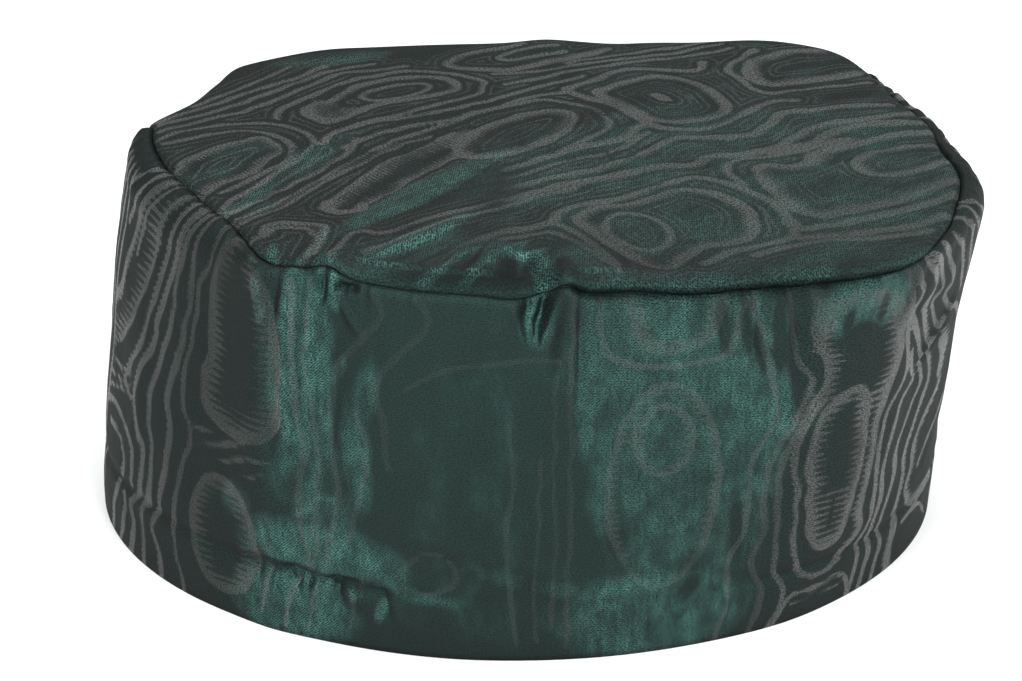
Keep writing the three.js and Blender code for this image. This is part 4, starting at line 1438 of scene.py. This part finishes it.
# How much of the painted shadow in the seam shows
PAINTED_SEAM_SHADOW_SHARE = 0.92

# Colours of the cloth
DARK_RIB = (0.0032, 0.0048, 0.0045, 1.0)
PALE_RIB = (0.0120, 0.0163, 0.0154, 1.0)
GREEN_SILK = (0.085, 0.235, 0.20, 1.0)
PRESSED_GREY = (0.112, 0.114, 0.110, 1.0)
# Painted shadow in the seam, not a colour of the cloth
PAINTED_SEAM_SHADOW = (0.002, 0.0025, 0.0024, 1.0)

# How far outside the teeth the two echoes of a line lie, how wide they are, and the
# share of the far one
NEAR_ECHO = 1.7
FAR_ECHO = 3.5
ECHO_HALF_WIDTH = 0.5
FAR_ECHO_SHARE = 0.8

# The two finishes. Pitch is that of the teeth, press how plain the pressed bands are,
# soft over what width a line's edge fades and wider how far it moves out for that, glow
# how much the cloth between the teeth is pressed too, and echo how plain the fainter
# lines are that follow. Specks are the size of the threads' specks, sparkle the contrast
# of the green threads' painted glints and uneven how streaky their painted sheen is.
# Brushed silk has its highlight drawn out, at a turn.
FINISH_COLUMNS = (
    "pitch", "press", "soft", "wider", "glow", "echo", "specks", "sparkle", "uneven",
    "brushed", "turn",
)
FINISHES = {
    "band_cloth": (1.7, 0.84, 0.6, 0.04, 0.15, 0, 0.42, 2.5, 0.47, 0.85, 0.25),
    "tip_cloth": (1.1, 0.5, 0.8, 0.12, 0.5, 0.5, 0.58, 3.9, 0.3, 0, 0),
}


def pressed_lines(s, across, along, finish):
    """How much a place is pressed: the lines with the teeth into which the ribs bunch
    along their ragged side, and their echoes."""
    rows = along / finish["pitch"] + s.noise(across, along, *CLOTH_NOISES["drift"]) * DRIFT_ROWS
    tooth = 1.0 - (rows.fraction() * 2.0 - 1.0).absolute()
    cell = s.flat_place(rows.floor(), (across / TOOTH_LENGTH).floor())
    chance = s.node("ShaderNodeTexWhiteNoise", {"noise_dimensions": "2D"}, Vector=cell)[0]
    wander = (s.noise(across, along, *CLOTH_NOISES["wander"]) - 0.5) * WANDER_OFF + finish["wider"]
    solid = s.attribute("solid") + wander
    reach = s.attribute("reach") + wander
    into_teeth = (0.0 - solid) / (reach - solid)
    long_share = chance * (1.0 - SHORTEST_TOOTH) + SHORTEST_TOOTH
    on_tooth = ((tooth * long_share - into_teeth) / TOOTH_SOFT + 0.5).clamped()
    between_teeth = (GLOW_ENDS - into_teeth) * finish["glow"]
    teeth = (on_tooth * (1.0 - into_teeth * TOOTH_PALES)).larger(between_teeth)
    teeth = teeth * (reach / TOOTH_SOFT + 0.5).clamped()
    lines = (solid / finish["soft"] + 0.5).clamped().larger(teeth)
    if finish["echo"]:
        near_echo = (1.0 - (reach + NEAR_ECHO).absolute() / ECHO_HALF_WIDTH).clamped()
        far_echo = (1.0 - (reach + FAR_ECHO).absolute() / ECHO_HALF_WIDTH).clamped()
        lines = lines.larger(near_echo.larger(far_echo * FAR_ECHO_SHARE) * finish["echo"])
    strength = s.noise(across, along, *CLOTH_NOISES["strength"]) * LINE_STRENGTH
    return (lines * strength).clamped() * finish["press"]


def ribbed_weave(s, across, along, clear, finish):
    """The weave's ribs crossed by the warp, and the twill of the green threads' glints."""
    rib = (along * (math.tau / RIB_PITCH) + across * RIB_SLANT).sine()
    warp = (across * (math.tau / RIB_PITCH)).sine()
    size = finish["specks"]
    specks = s.noise(across, along, size, size * SPECK_FLATNESS, SPECK_DETAIL) - 0.5
    weave = rib * WEAVE_PARTS["rib"] + rib * warp * WEAVE_PARTS["crossed"]
    weave = weave + specks * WEAVE_PARTS["specks"]
    weave = (weave * (clear * CLEAR_WEAVE + FADED_WEAVE) + 0.5).clamped()
    twill = ((along - across) * (math.tau / TWILL_PITCH)).sine() * TWILL_PARTS["twill"]
    twill = twill + rib * TWILL_PARTS["rib"] + specks * TWILL_PARTS["specks"]
    return weave, (twill + 0.5).clamped()


def green_threads(s, across, along, patch, twill, finish):
    """Painted sheen of the green threads, in streaks and glints, over its patches."""
    streak = s.noise(across, along, *CLOTH_NOISES["streak"]).sharper(STREAK_CONTRAST)
    mottle = s.noise(across, along, *CLOTH_NOISES["mottle"]).sharper(STREAK_CONTRAST)
    cloud = s.noise(across, along, *CLOTH_NOISES["cloud"])
    body = (patch + cloud - 0.5).between(*BODY_ENDS) * (patch * BODY_RISES).clamped()
    glints = ((twill - 0.5) * finish["sparkle"] + GLINT_BASE) * (patch * GLINT_RISES).clamped()
    streaks = (streak + mottle) * finish["uneven"] + (STREAK_BASE - finish["uneven"])
    return body * streaks * (glints + 1.0).larger(0.0)


def watered_cloth(name):
    """Ribbed cloth with a watered pattern: near-black ribs between which green threads
    gleam when the cloth is seen square on, and pressed bands that are greyer and glossier.
    The green threads' gleam is also painted in patches, and a shadow is painted in the seam."""
    finish = dict(zip(FINISH_COLUMNS, FINISHES[name]))
    material, s = new_material(name)
    place = s.node("ShaderNodeUVMap", {"uv_map": "cloth"})[0]
    across, along, _ = s.node("ShaderNodeSeparateXYZ", None, place)
    across, along = across / MM, along / MM
    # The gleam attribute is painted sheen, dimmed by painted shade
    patch = s.attribute("gleam")
    # The fade is partly painted: it takes the pressed bands out where their sheen is weak
    clear = 1.0 - s.attribute("fade")
    facing = s.node("ShaderNodeLayerWeight", None, Blend=0.5)[1]

    band = pressed_lines(s, across, along, finish)
    weave, twill = ribbed_weave(s, across, along, clear, finish)
    painted_green_sheen = green_threads(s, across, along, patch, twill, finish)
    sheen, shine = SQUARE_ON_SHEEN, PRESSED_SHINE
    square_on = (1.0 - facing).power(sheen["power"]) * (weave * sheen["weave"] + sheen["plain"])
    # The green silk's share: a sheen by facing, and the painted sheen in its patches
    gleam = square_on + painted_green_sheen * GREEN_SHARE
    in_clear = clear * (facing.power(shine["power"]) * shine["edge_on"] + shine["square_on"])
    in_painted_sheen = patch * (clear * shine["gleam"] + shine["faded_gleam"])
    on_ribs = weave * shine["ribs"] + shine["between_ribs"]
    shown_band = band * ((in_clear + in_painted_sheen + shine["faded"]) * on_ribs)

    sockets = {"Strength": BUMP_STRENGTH, "Distance": WEAVE_BUMP, "Height": weave}
    bump = s.node("ShaderNodeBump", None, **sockets)[0]
    ground = s.mix_colour(weave, DARK_RIB, PALE_RIB)
    ribs = s.paint(Base_Color=ground, Roughness=0.7, Specular_IOR_Level=0.1, Normal=bump)
    silk = s.paint(
        Base_Color=GREEN_SILK, Metallic=1.0, Roughness=0.42, Normal=bump,
        Anisotropic=finish["brushed"], Anisotropic_Rotation=finish["turn"],
    )
    pressed = s.paint(Base_Color=PRESSED_GREY, Roughness=0.42, Specular_IOR_Level=0.5, Normal=bump)
    # Painted shadow: a near-black matte shader mixed in along the seam
    shadow = s.node("ShaderNodeBsdfDiffuse", None, PAINTED_SEAM_SHADOW)[0]
    cloth = s.mix_shader(gleam.clamped(), ribs, silk)
    watered = s.mix_shader(shown_band.clamped(), cloth, pressed)
    # The seam attribute holds the share of the painted shadow
    surface = s.mix_shader((s.attribute("seam") * PAINTED_SEAM_SHADOW_SHARE).clamped(), watered, shadow)
    s.node("ShaderNodeOutputMaterial", None, surface)
    return material


def dress(piece, node, slot):
    """Give a cloth its finish and its place in the frame."""
    piece.data.materials.append(watered_cloth(slot))
    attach(piece, BODY)
    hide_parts(node)


# Camera, lights and floor

CAMERA_AIM = Vector((-0.0014 - BOX_MIDDLE[0] * MM, -BOX_MIDDLE[1] * MM, 0.0358))
CAMERA_DISTANCE = 0.5
CAMERA_ELEVATION = 26.6
CAMERA_ROLL = 0.11
FOCAL_PIXELS = 2115.0
IMAGE_WIDTH = 1022
SENSOR_WIDTH = 36.0

LIGHT_AIM = Vector((0, 0, 0.04))
LIGHT_COLUMNS = ("name", "azimuth", "elevation", "distance", "size", "power")
SOFT_BOXES = (
    ("left_box", -38, 46, 1.2, (0.45, 0.8), 8.5),
    ("right_box", 34, 46, 1.2, (0.45, 0.8), 8.5),
    ("top_box", 180, 72, 1.6, (1.8, 1.8), 18),
    ("side_box", 92, 22, 1.1, (0.5, 0.7), 5),
)
ROOM_LIGHT = (0.95, 1.0, 1.0, 1.0)
ROOM_STRENGTH = 0.42
BACKDROP = (1.0, 1.0, 1.0, 1.0)
FLOOR_TONE = (0.93, 0.93, 0.93, 1.0)
FLOOR_HALF = 3.0


def stand_off(thing, aim, azimuth, elevation, distance, roll=0.0):
    """Stand a camera or a light off its aim and turn it to face it, azimuth 0 in front of
    the cap and 90 to its right."""
    azimuth, elevation = math.radians(azimuth), math.radians(elevation)
    flat = math.cos(elevation)
    towards = Vector((math.sin(azimuth) * flat, -math.cos(azimuth) * flat, math.sin(elevation)))
    thing.location = aim + towards * distance
    thing.rotation_mode = "QUATERNION"
    turn = Quaternion((0, 0, 1), math.radians(roll))
    thing.rotation_quaternion = (-towards).to_track_quat("-Z", "Y") @ turn


def add_camera():
    """The camera of the photograph, which looks down at the cap's front."""
    data = bpy.data.cameras.new("camera")
    data.sensor_width = SENSOR_WIDTH
    data.lens = FOCAL_PIXELS * SENSOR_WIDTH / IMAGE_WIDTH
    camera = add_object("camera", data)
    stand_off(camera, CAMERA_AIM, 0, CAMERA_ELEVATION, CAMERA_DISTANCE, CAMERA_ROLL)
    bpy.context.scene.camera = camera


def add_soft_box(box):
    """A soft light that faces the cap, from a row of SOFT_BOXES."""
    data = bpy.data.lights.new(box["name"], "AREA")
    data.shape = "RECTANGLE"
    data.size, data.size_y = box["size"]
    data.energy = box["power"]
    light = add_object(box["name"], data)
    stand_off(light, LIGHT_AIM, box["azimuth"], box["elevation"], box["distance"])


def add_world():
    """An even pale room that lights the cap, in front of a white backdrop."""
    world = bpy.data.worlds.new("studio")
    bpy.context.scene.world = world
    s = Shader(world)
    seen_by_camera = s.node("ShaderNodeLightPath")[0]
    room = s.node("ShaderNodeBackground", None, ROOM_LIGHT, ROOM_STRENGTH)[0]
    backdrop = s.node("ShaderNodeBackground", None, BACKDROP, 1.0)[0]
    s.node("ShaderNodeOutputWorld", None, s.mix_shader(seen_by_camera, room, backdrop))


def add_floor():
    """A plain pale floor."""
    half = FLOOR_HALF
    corners = [(-half, -half, 0), (half, -half, 0), (half, half, 0), (-half, half, 0)]
    mesh = bpy.data.meshes.new("floor")
    mesh.from_pydata(corners, [], [(0, 1, 2, 3)])
    material, s = new_material("pale_floor")
    s.node("ShaderNodeOutputMaterial", None, s.paint(Base_Color=FLOOR_TONE, Roughness=0.7))
    mesh.materials.append(material)
    add_object("floor", mesh)


band = make_band()
tip = make_tip()
dress(band, "side_band", "band_cloth")
dress(tip, "tip", "tip_cloth")

add_camera()
add_world()
add_floor()
for box in rows_of(LIGHT_COLUMNS, SOFT_BOXES):
    add_soft_box(box)
bpy.context.scene.view_settings.view_transform = "Standard"
